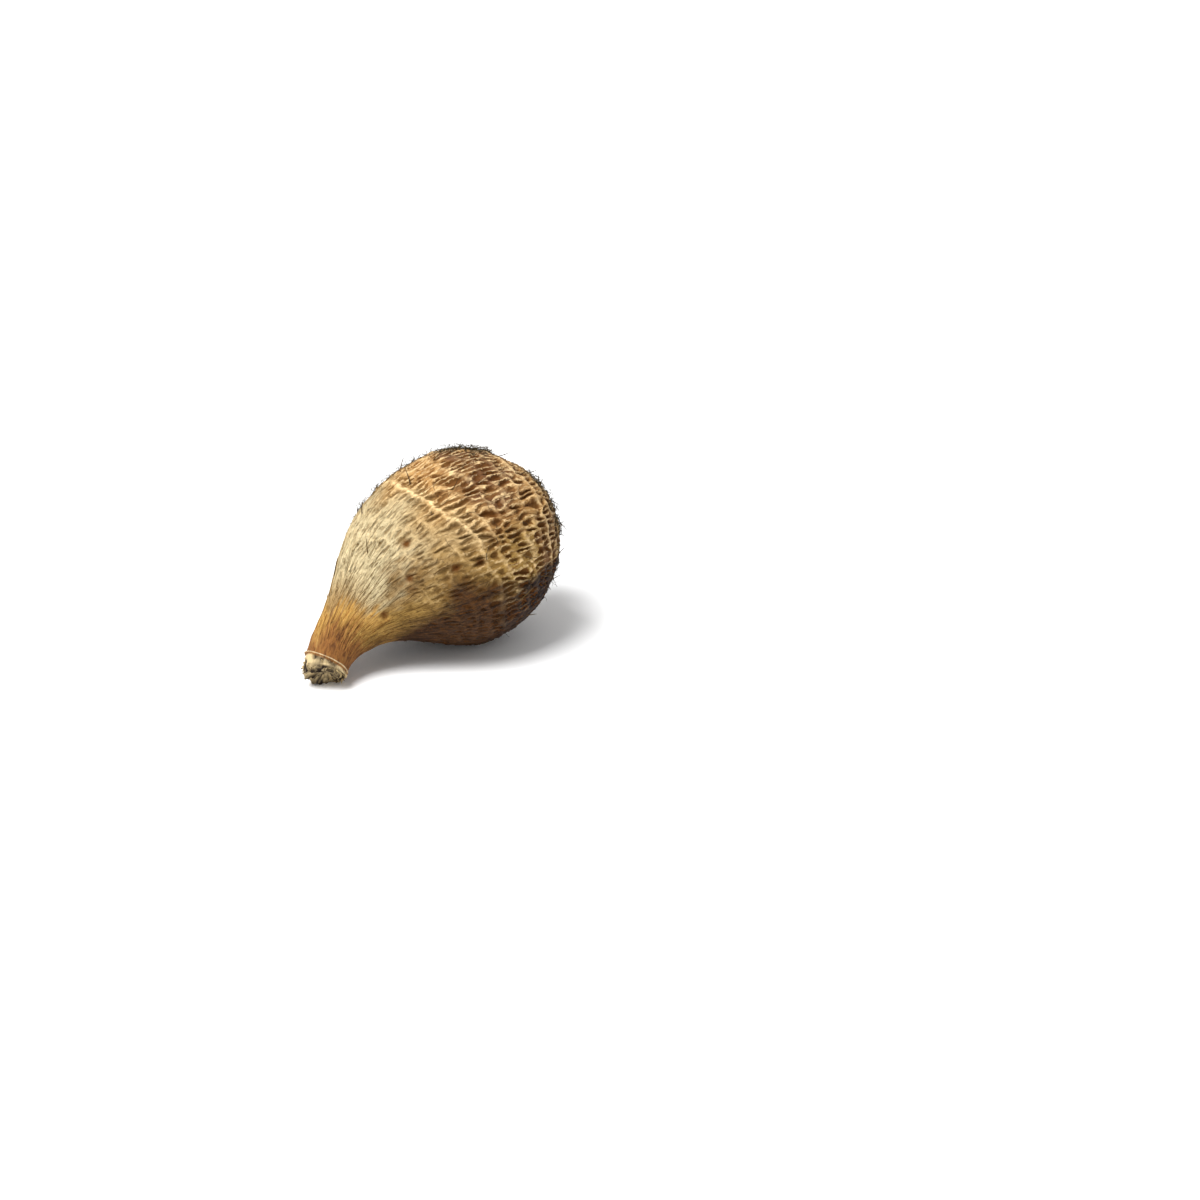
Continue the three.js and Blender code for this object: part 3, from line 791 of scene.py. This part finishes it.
def dark_hairs(count, seed):
    """Thin curling paths: many in clumps, the rest denser towards the growing end and above."""
    rng = np.random.default_rng(seed)
    steps = 9
    way = MERIDIAN * (0.36 + 0.55 * rng.random(count) ** 0.55)
    angle = rng.uniform(0, 2 * math.pi, count)
    clumped = rng.random(count) < 0.6
    clump = HAIR_CLUMPS[rng.integers(0, len(HAIR_CLUMPS), count)]
    way = np.where(clumped, clump[:, 0] + rng.normal(0, 2.8, count), way)
    angle = np.where(clumped, np.radians(clump[:, 1] + rng.normal(0, 4.5, count)), angle)
    upper = ease(-0.9, 0.8, np.sin(angle))
    loose_share = np.maximum(0.15 + 0.4 * upper, ease(100, 118, way))
    seen = clumped | (rng.random(count) < loose_share)
    way, angle = np.minimum(way[seen], SKIN_TOP), angle[seen]
    kept = len(way)
    normal, forward, around = skin_axes(station(way), angle)[1:]
    heading = unit(blend((forward, rng.normal(0.3, 0.7, kept)), (around, rng.normal(0, 0.9, kept)),
                         (normal, rng.uniform(0.1, 0.7, kept))))
    drift = blend((forward, rng.normal(0, 1.4, kept)), (around, rng.normal(0, 1.4, kept)),
                  (normal, rng.normal(-0.5, 0.6, kept)))
    curl = unit(blend((forward, rng.normal(0, 1, kept)), (around, rng.normal(0, 1, kept)),
                      (normal, rng.normal(0, 0.5, kept))))
    curl = curl * rng.uniform(0.4, 1.3, kept)[:, None]
    foot = skin_point(way, angle, skin_height(way, angle) - 0.2)
    paths = free_paths(foot, heading, drift, rng.uniform(2.0, 6.5, kept), steps, curl)
    wide = rng.uniform(0.08, 0.18, kept)[:, None] * np.linspace(1, 0.35, steps)[None, :]
    keep = paths[..., 2].min(axis=1) > 2.0
    return strand_mesh("dark_hairs", paths, wide, wide, normal, {"shade": rng.random(kept)}, keep)


hairs = dark_hairs(2400, 14)

# %% [markdown]
# ## The tuft at the growing end
# The bud is wrapped in the dark fibres of its last leaf bases. The wrap is a small
# dome with lengthwise grooves that sits in the socket, and a brush of fibres springs
# from it.

# %% Bud
BUD_GAP = 0.35
BUD_RADIUS = 5.6
BUD_HEIGHT = 6.5
BUD_COLUMNS = 96
bud_angles = np.linspace(0, 2 * math.pi, BUD_COLUMNS, endpoint=False)
bud_share = np.linspace(0, 0.97, 22)
bud_turn, bud_rise = np.meshgrid(bud_angles, bud_share)
bud_base = np.minimum(bud_rise / 0.06, 1.0)
bud_radius = BUD_RADIUS * np.sqrt(np.clip(1 - bud_rise ** 1.6, 0, 1)) * (0.9 + 0.1 * bud_base)
groove = 0.28 * np.abs(np.sin(8 * bud_turn + 5 * bud_rise))
groove = groove + 0.12 * np.sin(19 * bud_turn - 7 * bud_rise)
bud_radius = np.maximum(bud_radius - groove * ease(0.05, 0.3, bud_rise), 0.3)
bud_reach = BUD_GAP - SOCKET_DEPTH + BUD_HEIGHT * bud_rise
bud_grid = top_point(bud_radius, bud_reach, bud_turn)
bud_low = top_place["centre"] + top_place["tangent"] * (BUD_GAP - SOCKET_DEPTH)
bud_high = top_place["centre"] + top_place["tangent"] * (BUD_GAP - SOCKET_DEPTH + BUD_HEIGHT)
bud_points = np.concatenate([bud_grid.reshape(-1, 3), bud_low[None], bud_high[None]])
bud_values = {"along": np.r_[bud_rise.ravel(), 0.0, 1.0],
              "shade": np.r_[(groove / 0.4).ravel(), 0.0, 0.0]}
bud = add_object("bud", bud_points, grid_faces(len(bud_share), BUD_COLUMNS), bud_values)

# %% Brush of fibres round the bud
def tuft_fibres(count, seed):
    """Paths that spring from the bud, spreading more the further out they start."""
    rng = np.random.default_rng(seed)
    index = np.arange(count)
    share = (index + 0.5) / count
    angle = index * GOLDEN_ANGLE + rng.normal(0, 0.1, count)
    foot = top_point(BUD_RADIUS * (0.05 + 0.75 * share), 4.2 - 3.0 * share, angle)
    radial = top_point(np.ones(count), np.zeros(count), angle) - top_place["centre"]
    around = np.cross(np.broadcast_to(top_place["tangent"], radial.shape), radial)
    heading = unit(blend((top_place["tangent"], 1.0), (radial, 0.2 + 1.5 * share),
                         (around, rng.normal(0, 0.3, count))))
    drift = blend((radial, rng.normal(0.3, 0.5, count)), (around, rng.normal(0, 0.8, count)),
                  (top_place["tangent"], rng.normal(0, 0.4, count)))
    steps = 7
    paths = free_paths(foot, heading, drift, rng.uniform(5, 11, count), steps)
    wide = rng.uniform(0.08, 0.2, count)[:, None] * np.linspace(1, 0.3, steps)[None, :]
    return strand_mesh("tuft_fibres", paths, wide, wide, radial, {"shade": rng.random(count)})


tuft = tuft_fibres(520, 15)
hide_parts("apex_tuft")
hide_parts("apex_tuft")

# %% [markdown]
# ## Shreds at the broken neck
# Where the root was broken off its plant, the neck ends in a rough face with torn
# strips round it. The rough face is part of the skin's grid. The strips are short
# free paths from the rim that point away from the body.

# %% Torn shreds at the broken neck
def neck_shreds(count, seed):
    """Short stiff shreds that stick out past the broken end, all round its rim."""
    rng = np.random.default_rng(seed)
    angle = rng.uniform(0, 2 * math.pi, count)
    place = station(rng.uniform(0.2, 5.0, count))
    radial, normal, forward, around = skin_axes(place, angle)
    foot = place["centre"] + radial * (place["radius"] - rng.uniform(0.2, 2.2, count))[:, None]
    heading = unit(blend((-forward, rng.uniform(0.5, 1.2, count)), (around, rng.normal(0, 0.5, count)),
                         (normal, rng.uniform(0, 0.5, count))))
    drift = blend((around, rng.normal(0, 0.8, count)), (normal, rng.normal(0, 0.5, count)))
    steps = 5
    paths = free_paths(foot, heading, drift, rng.uniform(0.8, 2.6, count), steps)
    wide = rng.uniform(0.15, 0.5, count)[:, None] * np.linspace(1, 0.3, steps)[None, :]
    keep = paths[..., 2].min(axis=1) > 0.4
    return strand_mesh("neck_shreds", paths, wide, wide, normal, {"shade": rng.random(count)}, keep)


shreds = neck_shreds(150, 16)

for piece in (pale_fibres, brown_fibres, fringe, root_strands, hairs, bud, tuft, shreds):
    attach(piece, "root")

# %% [markdown]
# ## Finishes
# Real skin is dry, matt and never one colour: straw where the fibres are thick,
# brown in the pits, orange at the neck and nearly black at the tuft. The masks that
# were worked out with the mesh choose between a few earthy colours, and a streaky
# grain, shared by all finishes as a node group, breaks each of them up. Long chains
# of Math nodes are hard to read, so a small class lets them be written as sums.
# From the middle down, some of these colours are painted shade: the olive, brown and deep masks darken the
# underside.

# %% Values that run through a node tree
def add_node(tree, kind, **settings):
    """New node with its properties set."""
    made = tree.nodes.new(kind)
    for key, value in settings.items():
        setattr(made, key, value)
    return made


class Wire:
    """A value in a node tree: each sum or product with it adds the Math node that works it out."""

    def __init__(self, tree, socket):
        self.tree = tree
        self.socket = socket

    def run(self, operation, first, second=0.0, clamp=False):
        """Math node on two values, each a wire or a number."""
        made = add_node(self.tree, "ShaderNodeMath", operation=operation, use_clamp=clamp)
        feed(self.tree, made.inputs[0], first)
        feed(self.tree, made.inputs[1], second)
        return Wire(self.tree, made.outputs[0])

    def kept(self):
        """The value, kept between 0 and 1."""
        return self.run("ADD", self, 0.0, True)

    def __add__(self, other):
        return self.run("ADD", self, other)

    def __sub__(self, other):
        return self.run("SUBTRACT", self, other)

    def __rsub__(self, other):
        return self.run("SUBTRACT", other, self)

    def __mul__(self, other):
        return self.run("MULTIPLY", self, other)

    def __truediv__(self, other):
        return self.run("DIVIDE", self, other)

    def __pow__(self, other):
        return self.run("POWER", self, other)

    __radd__ = __add__
    __rmul__ = __mul__


def feed(tree, inlet, value):
    """Links a wire to a node's input, or sets a number or a colour there."""
    if isinstance(value, Wire):
        tree.links.new(value.socket, inlet)
    else:
        inlet.default_value = value


def wire_step(operation, clamp=False):
    """A Math node's operation, as a function of one or two wires."""
    return lambda first, second=0.0: first.run(operation, first, second, clamp)


def wire_bell(distance):
    """Exponential of minus the square."""
    below_zero = -1.0 * distance ** 2
    return below_zero.run("EXPONENT", below_zero)


def wire_ease(low, high, value, kind="SMOOTHSTEP"):
    """Map Range node: 0 up to low, 1 from high, and a smooth or straight rise between."""
    made = add_node(value.tree, "ShaderNodeMapRange", interpolation_type=kind)
    made.inputs["From Min"].default_value = low
    made.inputs["From Max"].default_value = high
    feed(value.tree, made.inputs["Value"], value)
    return Wire(value.tree, made.outputs["Result"])


WIRES = SimpleNamespace(
    floor=wire_step("FLOOR"), sine=wire_step("SINE"), cosine=wire_step("COSINE"),
    absolute=wire_step("ABSOLUTE"), larger=wire_step("MAXIMUM"), same=wire_step("COMPARE"),
    remainder=wire_step("FLOORED_MODULO"), clip=wire_step("ADD", True), ease=wire_ease, bell=wire_bell)

# %% Material helpers
def earth(code):
    """Linear colour from a hex code: each channel through the sRGB curve."""
    channels = [int(code[i:i + 2], 16) / 255 for i in (0, 2, 4)]
    linear = [c / 12.92 if c <= 0.04045 else ((c + 0.055) / 1.055) ** 2.4 for c in channels]
    return (*linear, 1.0)


def own_mask(tree, name, part="Fac"):
    """Reads one of the piece's own attributes."""
    return Wire(tree, add_node(tree, "ShaderNodeAttribute", attribute_name=name).outputs[part])


def layer_colour(tree, below, above, mask):
    """Colour over colour: the mask says how much of the upper one shows."""
    made = add_node(tree, "ShaderNodeMix", data_type="RGBA", blend_type="MIX")
    for inlet, value in ((6, below), (7, above), (0, mask)):
        feed(tree, made.inputs[inlet], value)
    return Wire(tree, made.outputs[2])


def new_group(name, inlets, outlets):
    """Empty node group with named inputs and outputs, each a title and its kind of value."""
    group = bpy.data.node_groups.new(name, "ShaderNodeTree")
    for way, sockets in (("INPUT", inlets), ("OUTPUT", outlets)):
        for title, kind in sockets.items():
            group.interface.new_socket(title, in_out=way, socket_type="NodeSocket" + kind)
    start = add_node(group, "NodeGroupInput").outputs
    end = add_node(group, "NodeGroupOutput").inputs
    return group, {title: Wire(group, start[title]) for title in inlets}, end


def place_group(tree, group, values):
    """The group in a material, fed with the given values: its outputs by name."""
    made = add_node(tree, "ShaderNodeGroup", node_tree=group)
    for title, value in values.items():
        feed(tree, made.inputs[title], value)
    return {outlet.name: Wire(tree, outlet) for outlet in made.outputs}


def matt_material(name, roughness):
    """Material with a matt surface and nothing linked yet."""
    made = bpy.data.materials.new(name)
    made.use_nodes = True
    surface = made.node_tree.nodes["Principled BSDF"]
    surface.inputs["Roughness"].default_value = roughness
    surface.inputs["Specular IOR Level"].default_value = 0.25
    return made, surface


# %% Streaky grain, shared by every finish of the root
def grain_group():
    """Two noises on stretched coordinates: long streaks, and short flecks between them."""
    group, start, end = new_group("streaky_grain", {"Place": "Vector", "Scale": "Float"},
                                  {"Streak": "Float", "Fleck": "Float"})
    for title, stretch, scale in (("Streak", 0.25, 1.4), ("Fleck", 0.5, 1.1)):
        mapping = add_node(group, "ShaderNodeMapping")
        mapping.inputs["Scale"].default_value = (1.0, 1.0, stretch)
        feed(group, mapping.inputs["Vector"], start["Place"])
        noise = add_node(group, "ShaderNodeTexNoise")
        noise.inputs["Detail"].default_value = 3.0
        noise.inputs["Roughness"].default_value = 0.6
        feed(group, noise.inputs["Vector"], Wire(group, mapping.outputs["Vector"]))
        feed(group, noise.inputs["Scale"], scale * start["Scale"])
        feed(group, end[title], wire_ease(0.34, 0.66, Wire(group, noise.outputs["Fac"]), "LINEAR"))
    return group


streaky_grain = grain_group()


def add_grain(tree, place, scale):
    """The shared grain in this material: its streaks and its flecks, on the given coordinates."""
    grain = place_group(tree, streaky_grain, {"Place": place, "Scale": scale})
    return grain["Streak"], grain["Fleck"]


# %% The net, worked out again for each point of the picture
def net_group():
    """The net's formulas on shader values, with crisper pits than the mesh, and ribs between them."""
    group, start, end = new_group("net_of_pits", {"Phase": "Float", "Turn": "Float", "Begins": "Float"},
                                  {"Pit": "Float", "Crest": "Float", "Rib": "Float"})
    phase, turn, begins = start["Phase"], start["Turn"], start["Begins"]
    crest = crest_pattern(phase, turn, 0.22, 0.6, 0.14, WIRES).kept()
    hollow, deep, across, in_row = pit_pattern(phase, turn, begins, WIRES)
    pit = (2.6 * hollow).kept() * deep * (3 * begins).kept()
    between = (3 * (across - 1.05)).kept()
    middle = (1.3 - (2 * WIRES.absolute(in_row - 0.5)) ** 3).kept()
    feed(group, end["Pit"], pit * (1 - 0.8 * crest))
    feed(group, end["Crest"], crest)
    feed(group, end["Rib"], between * middle * begins)
    return group


net_of_pits = net_group()

# %% Colours of the skin, a dark and a light one for each region
REGION_COLOURS = (
    ("body", "6A4C22", "BE9E6A"),
    ("straw", "6E5A34", "E8D7AC"),
    ("net", "74420C", "D9AC6C"),
    # Olive: the lower half's duller tone, partly painted shade
    ("olive_and_shade", "60420F", "B4904C"),
    # Brown: partly darker skin, partly painted shade on the underside
    ("brown_and_shade", "1C0C04", "52310C"),
    ("neck", "85581C", "CFA55A"),
    ("tip", "42220C", "A06B34"),
    ("top", "2C190A", "94744A"),
    ("bruise", "3A1E0B", "845B36"),
    # Deep: painted shade, near black, low on the near side towards the growing end
    ("deep", "0A0206", "26120E"),
)
REGION_MASKS = [region[0] for region in REGION_COLOURS[1:]]
# Pale colour of crests and ribs, used partly as a painted highlight
RIB_PALE_AND_HIGHLIGHT = earth("EBCB96")
COLLAR_PALE = earth("EBD9AE")
PIT_BROWN = earth("5E3606")
MARK_OLIVE = earth("705428")
TORN_DARK = earth("23160A")
TORN_PALE = earth("CBB488")


def region_group():
    """Each region mixes its two colours by the grain, and covers the one before by its mask."""
    inlets = {name: "Float" for name in ("Grain", *REGION_MASKS)}
    group, start, end = new_group("skin_regions", inlets, {"Colour": "Color"})
    colour = None
    for name, dark, light in REGION_COLOURS:
        own = layer_colour(group, earth(dark), earth(light), start["Grain"])
        colour = own if colour is None else layer_colour(group, colour, own, start[name])
    feed(group, end["Colour"], colour)
    return group


skin_regions = region_group()


def region_colour(tree, grain):
    """The regions' colour at a grain, with the masks read from the piece's own attributes."""
    values = {name: own_mask(tree, name) for name in REGION_MASKS}
    return place_group(tree, skin_regions, {"Grain": grain, **values})["Colour"]


# %% [markdown]
# ## Layers of the skin
# The skin's finish is built as a painter would: the region colours with their grain
# first, with painted shade among them on the underside, then the small dark marks,
# the pale crests and ribs, partly their own pale colour and partly painted highlight
# that is left off the shaded underside, then the pale collar, the pits, the torn face
# and the root scars. Each layer has one colour and one mask. A low bump from the same
# masks gives the streaks and pit edges their relief.

# %% Skin
def ragged_noise(tree, place):
    """Fine noise round zero, which frays the edges of the pits."""
    noise = add_node(tree, "ShaderNodeTexNoise")
    noise.inputs["Scale"].default_value = 1.0
    noise.inputs["Detail"].default_value = 4.0
    feed(tree, noise.inputs["Vector"], place)
    return Wire(tree, noise.outputs["Fac"]) - 0.5


def net_here(tree, place, mask):
    """Pit, crest and rib at a place, from its frayed ring number and its angle round the body."""
    frayed = ragged_noise(tree, place)
    parts = add_node(tree, "ShaderNodeSeparateXYZ")
    feed(tree, parts.inputs[0], place)
    side, up = Wire(tree, parts.outputs["X"]), Wire(tree, parts.outputs["Y"])
    turn = up.run("ARCTAN2", up, side) + 0.07 * frayed
    net = place_group(tree, net_of_pits, {"Phase": mask["phase"] + 0.34 * frayed, "Turn": turn,
                                          "Begins": mask["begins"]})
    return net["Pit"], net["Crest"], net["Rib"]


def skin_finish():
    """Region colours by streaks and flecks, painted shade on the underside among them, then marks, pale
    crests and ribs that are partly painted highlight, pits, the torn end and the scars.
    """
    made, surface = matt_material("netted_skin", 0.84)
    tree = made.node_tree
    place = own_mask(tree, "wrap", "Vector")
    names = ("net", "brown_and_shade", "deep", "begins", "phase", "crest", "lumps", "torn", "hole")
    mask = {name: own_mask(tree, name) for name in names}
    streak, fleck = add_grain(tree, place, 0.38)
    fine_streak, fine_fleck = add_grain(tree, place, 0.85)
    pit, crest, rib = net_here(tree, place, mask)
    # Where the underside's painted shade is absent: the pale crests and ribs, partly painted highlight, are
    # kept there, and so is the ribs' bump
    off_painted_shade = 1 - 0.95 * WIRES.larger(mask["brown_and_shade"], mask["deep"])
    rib = rib * off_painted_shade

    grain = (0.35 * streak + 0.5 * fine_streak + 0.2 * fleck + 0.15 * fine_fleck + 0.2 * crest - 0.1).kept()
    hatch = (0.45 * streak + 0.75 * fine_streak - 0.2).kept()
    marks = (6 * (hatch - 0.56)).kept() * (0.2 * mask["net"] + 0.3 * fleck + 0.3).kept()
    # Marks darken to pit brown on the net and on the underside's painted shade
    on_net_or_brown_shade = WIRES.larger(mask["net"], mask["brown_and_shade"])
    mark_colour = layer_colour(tree, MARK_OLIVE, PIT_BROWN, on_net_or_brown_shade)
    # Pale crests and ribs: partly their own pale colour, partly painted highlight, left off the underside's
    # painted shade
    crest_pale_and_highlight = (crest * off_painted_shade * mask["begins"] * (0.7 * fine_fleck + 0.3)).kept()
    rib_pale_and_highlight = (rib * (0.8 * fine_fleck + 0.1)).kept()
    collar = ((mask["crest"] - 1).kept() * (1.2 * fleck + 0.3)).kept()
    in_pit = (pit * (0.5 * mask["net"] + 0.3 * fleck + 0.35).kept()).kept()
    on_lump = (1.1 * (1.1 * mask["lumps"]).kept() ** 2 + 0.5 * fleck - 0.3).kept()
    torn_colour = layer_colour(tree, TORN_DARK, TORN_PALE, on_lump)
    colour = region_colour(tree, grain)
    for above, share in ((mark_colour, marks), (RIB_PALE_AND_HIGHLIGHT, crest_pale_and_highlight), (RIB_PALE_AND_HIGHLIGHT, rib_pale_and_highlight),
                         (COLLAR_PALE, collar), (mark_colour, in_pit), (torn_colour, mask["torn"]),
                         (PIT_BROWN, mask["hole"])):
        colour = layer_colour(tree, colour, above, share)
    feed(tree, surface.inputs["Base Color"], colour)

    height = 0.3 * fine_streak - 0.15 * streak + 0.2 * fine_fleck + 0.3 * crest + 0.3 * rib - 0.5 * pit
    bump = add_node(tree, "ShaderNodeBump")
    bump.inputs["Strength"].default_value = 0.8
    bump.inputs["Distance"].default_value = 0.8 * MM
    feed(tree, bump.inputs["Height"], (height + 0.45).kept())
    tree.links.new(bump.outputs["Normal"], surface.inputs["Normal"])
    return made


skin.data.materials.append(skin_finish())

# %% [markdown]
# ## Colours of the strands
# A fibre of bark has the colour of the skin that it came from, so its finish reads
# the same region masks, kept on each strand, and moves along the grain from one
# strand to the next. The dark hairs, the rootlets, the bud and the shreds don't
# follow the skin: each of their strands lies somewhere between two colours, and
# its tip fades to a third.
# On the underside the bark fibres take the skin's painted shade too.

# %% Bark fibres take the colour of the skin under them
STRAND_GRAIN = 900.0


def strand_fleck(tree):
    """The shared grain's flecks on object coordinates, which are in metres."""
    place = Wire(tree, add_node(tree, "ShaderNodeTexCoord").outputs["Object"])
    return add_grain(tree, place, STRAND_GRAIN)[1]


def bark_finish(name, base, spread):
    """The regions' colour at a grain that differs from strand to strand, darker at the far end."""
    made, surface = matt_material(name, 0.8)
    tree = made.node_tree
    shade, along = own_mask(tree, "shade"), own_mask(tree, "along")
    grain = (spread * shade + 0.3 * strand_fleck(tree) - 0.2 * along + base).kept()
    feed(tree, surface.inputs["Base Color"], region_colour(tree, grain))
    return made


for piece, name, base, spread in ((pale_fibres, "pale_bark_fibre", 0.45, 0.4),
                                  (brown_fibres, "brown_bark_fibre", -0.2, 0.4),
                                  (fringe, "ring_fringe_fibre", 0.0, 0.7)):
    piece.data.materials.append(bark_finish(name, base, spread))

# %% Hairs, bud and shreds
def fibre_finish(name, pale, dark, tip):
    """A colour between pale and dark for each strand, with flecks, and another at its tip."""
    made, surface = matt_material(name, 0.8)
    tree = made.node_tree
    shade = (own_mask(tree, "shade") + 0.35 * (strand_fleck(tree) - 0.5)).kept()
    colour = layer_colour(tree, pale, dark, shade)
    colour = layer_colour(tree, colour, tip, 0.5 * own_mask(tree, "along") ** 2)
    feed(tree, surface.inputs["Base Color"], colour)
    return made


FIBRE_COLOURS = (
    (root_strands, "rootlet_bark", "6B5128", "24170C", "3E2A16"),
    (hairs, "dark_hair", "5A4A2C", "17120C", "2E2418"),
    (bud, "bud_scale", "4E361C", "1A1008", "20140A"),
    (tuft, "tuft_fibre", "59401F", "1D130A", "4A3319"),
    (shreds, "torn_neck_fibre", "BFA878", "2E1D0D", "6B5230"),
)
for piece, name, pale, dark, tip in FIBRE_COLOURS:
    piece.data.materials.append(fibre_finish(name, earth(pale), earth(dark), earth(tip)))
print("finishes", len(bpy.data.materials))

# %% [markdown]
# ## Floor, light and camera
# The root lies on a plain pale floor in soft daylight from the upper left. The
# camera stands where the real one stood: a little above, with a long lens, and the
# root to the left of the middle of the picture.

# %% Floor
FLOOR_REACH = 9000.0
FLOOR_GAP = 0.1
floor_corners = np.array([[-1, -1], [1, -1], [1, 1], [-1, 1]]) * FLOOR_REACH
floor_points = np.column_stack([floor_corners, np.full(4, -FLOOR_GAP)])
floor = add_object("floor", floor_points, [(0, 1, 2, 3)], {})
floor_finish, floor_surface = matt_material("pale_floor", 0.9)
floor_surface.inputs["Base Color"].default_value = (0.93, 0.93, 0.93, 1.0)
floor.data.materials.append(floor_finish)

# %% Camera
VIEW_TURN = math.radians(-42)
VIEW_RISE = math.radians(25)
LENS = 85.0
SENSOR = 36.0
MM_PER_PIXEL = 0.388
ROOT_PIXEL = (462.2, 547.2)
ROOT_CENTRE = np.array([14.3, -1.6, 37.8])
PICTURE_SIZE = 1200
level_back = np.array([math.sin(VIEW_TURN), -math.cos(VIEW_TURN), 0.0])
right = np.array([math.cos(VIEW_TURN), math.sin(VIEW_TURN), 0.0])
back = level_back * math.cos(VIEW_RISE) + np.array([0.0, 0.0, math.sin(VIEW_RISE)])
above = np.cross(back, right)
distance = MM_PER_PIXEL * PICTURE_SIZE * LENS / SENSOR
offset = [(PICTURE_SIZE / 2 - value) * MM_PER_PIXEL for value in ROOT_PIXEL]
eye = ROOT_CENTRE + back * distance + right * offset[0] - above * offset[1]
camera_data = bpy.data.cameras.new("camera")
camera_data.lens = LENS
camera_data.sensor_width = SENSOR
camera = bpy.data.objects.new("camera", camera_data)
camera.location = eye * MM
camera.rotation_euler = (math.pi / 2 - VIEW_RISE, 0.0, VIEW_TURN)
bpy.context.scene.collection.objects.link(camera)
bpy.context.scene.camera = camera
print("camera at", camera.location[:])

# %% Lights
LIGHT_DISTANCE = 3.0
LIGHT_AIM = np.array([0, 0, 0.04])


def soft_light(name, direction, size, power):
    """Square area light that looks at the root from a few metres away."""
    data = bpy.data.lights.new(name, "AREA")
    data.size = size
    data.energy = power
    lamp = bpy.data.objects.new(name, data)
    away = np.array(direction) / np.linalg.norm(direction)
    lamp.location = away * LIGHT_DISTANCE + LIGHT_AIM
    rise = math.asin(away[2])
    lamp.rotation_euler = (math.pi / 2 - rise, 0.0, math.atan2(away[0], -away[1]))
    bpy.context.scene.collection.objects.link(lamp)


soft_light("window_light", -0.5 * right + 0.45 * back + np.array([0, 0, 1.1]), 1.6, 130)
world = bpy.data.worlds.new("daylight")
world.use_nodes = True
sky = world.node_tree.nodes["Background"]
sky.inputs["Color"].default_value = (1.0, 1.0, 1.0, 1.0)
sky.inputs["Strength"].default_value = 0.6
bpy.context.scene.world = world
bpy.context.scene.view_settings.view_transform = "Standard"
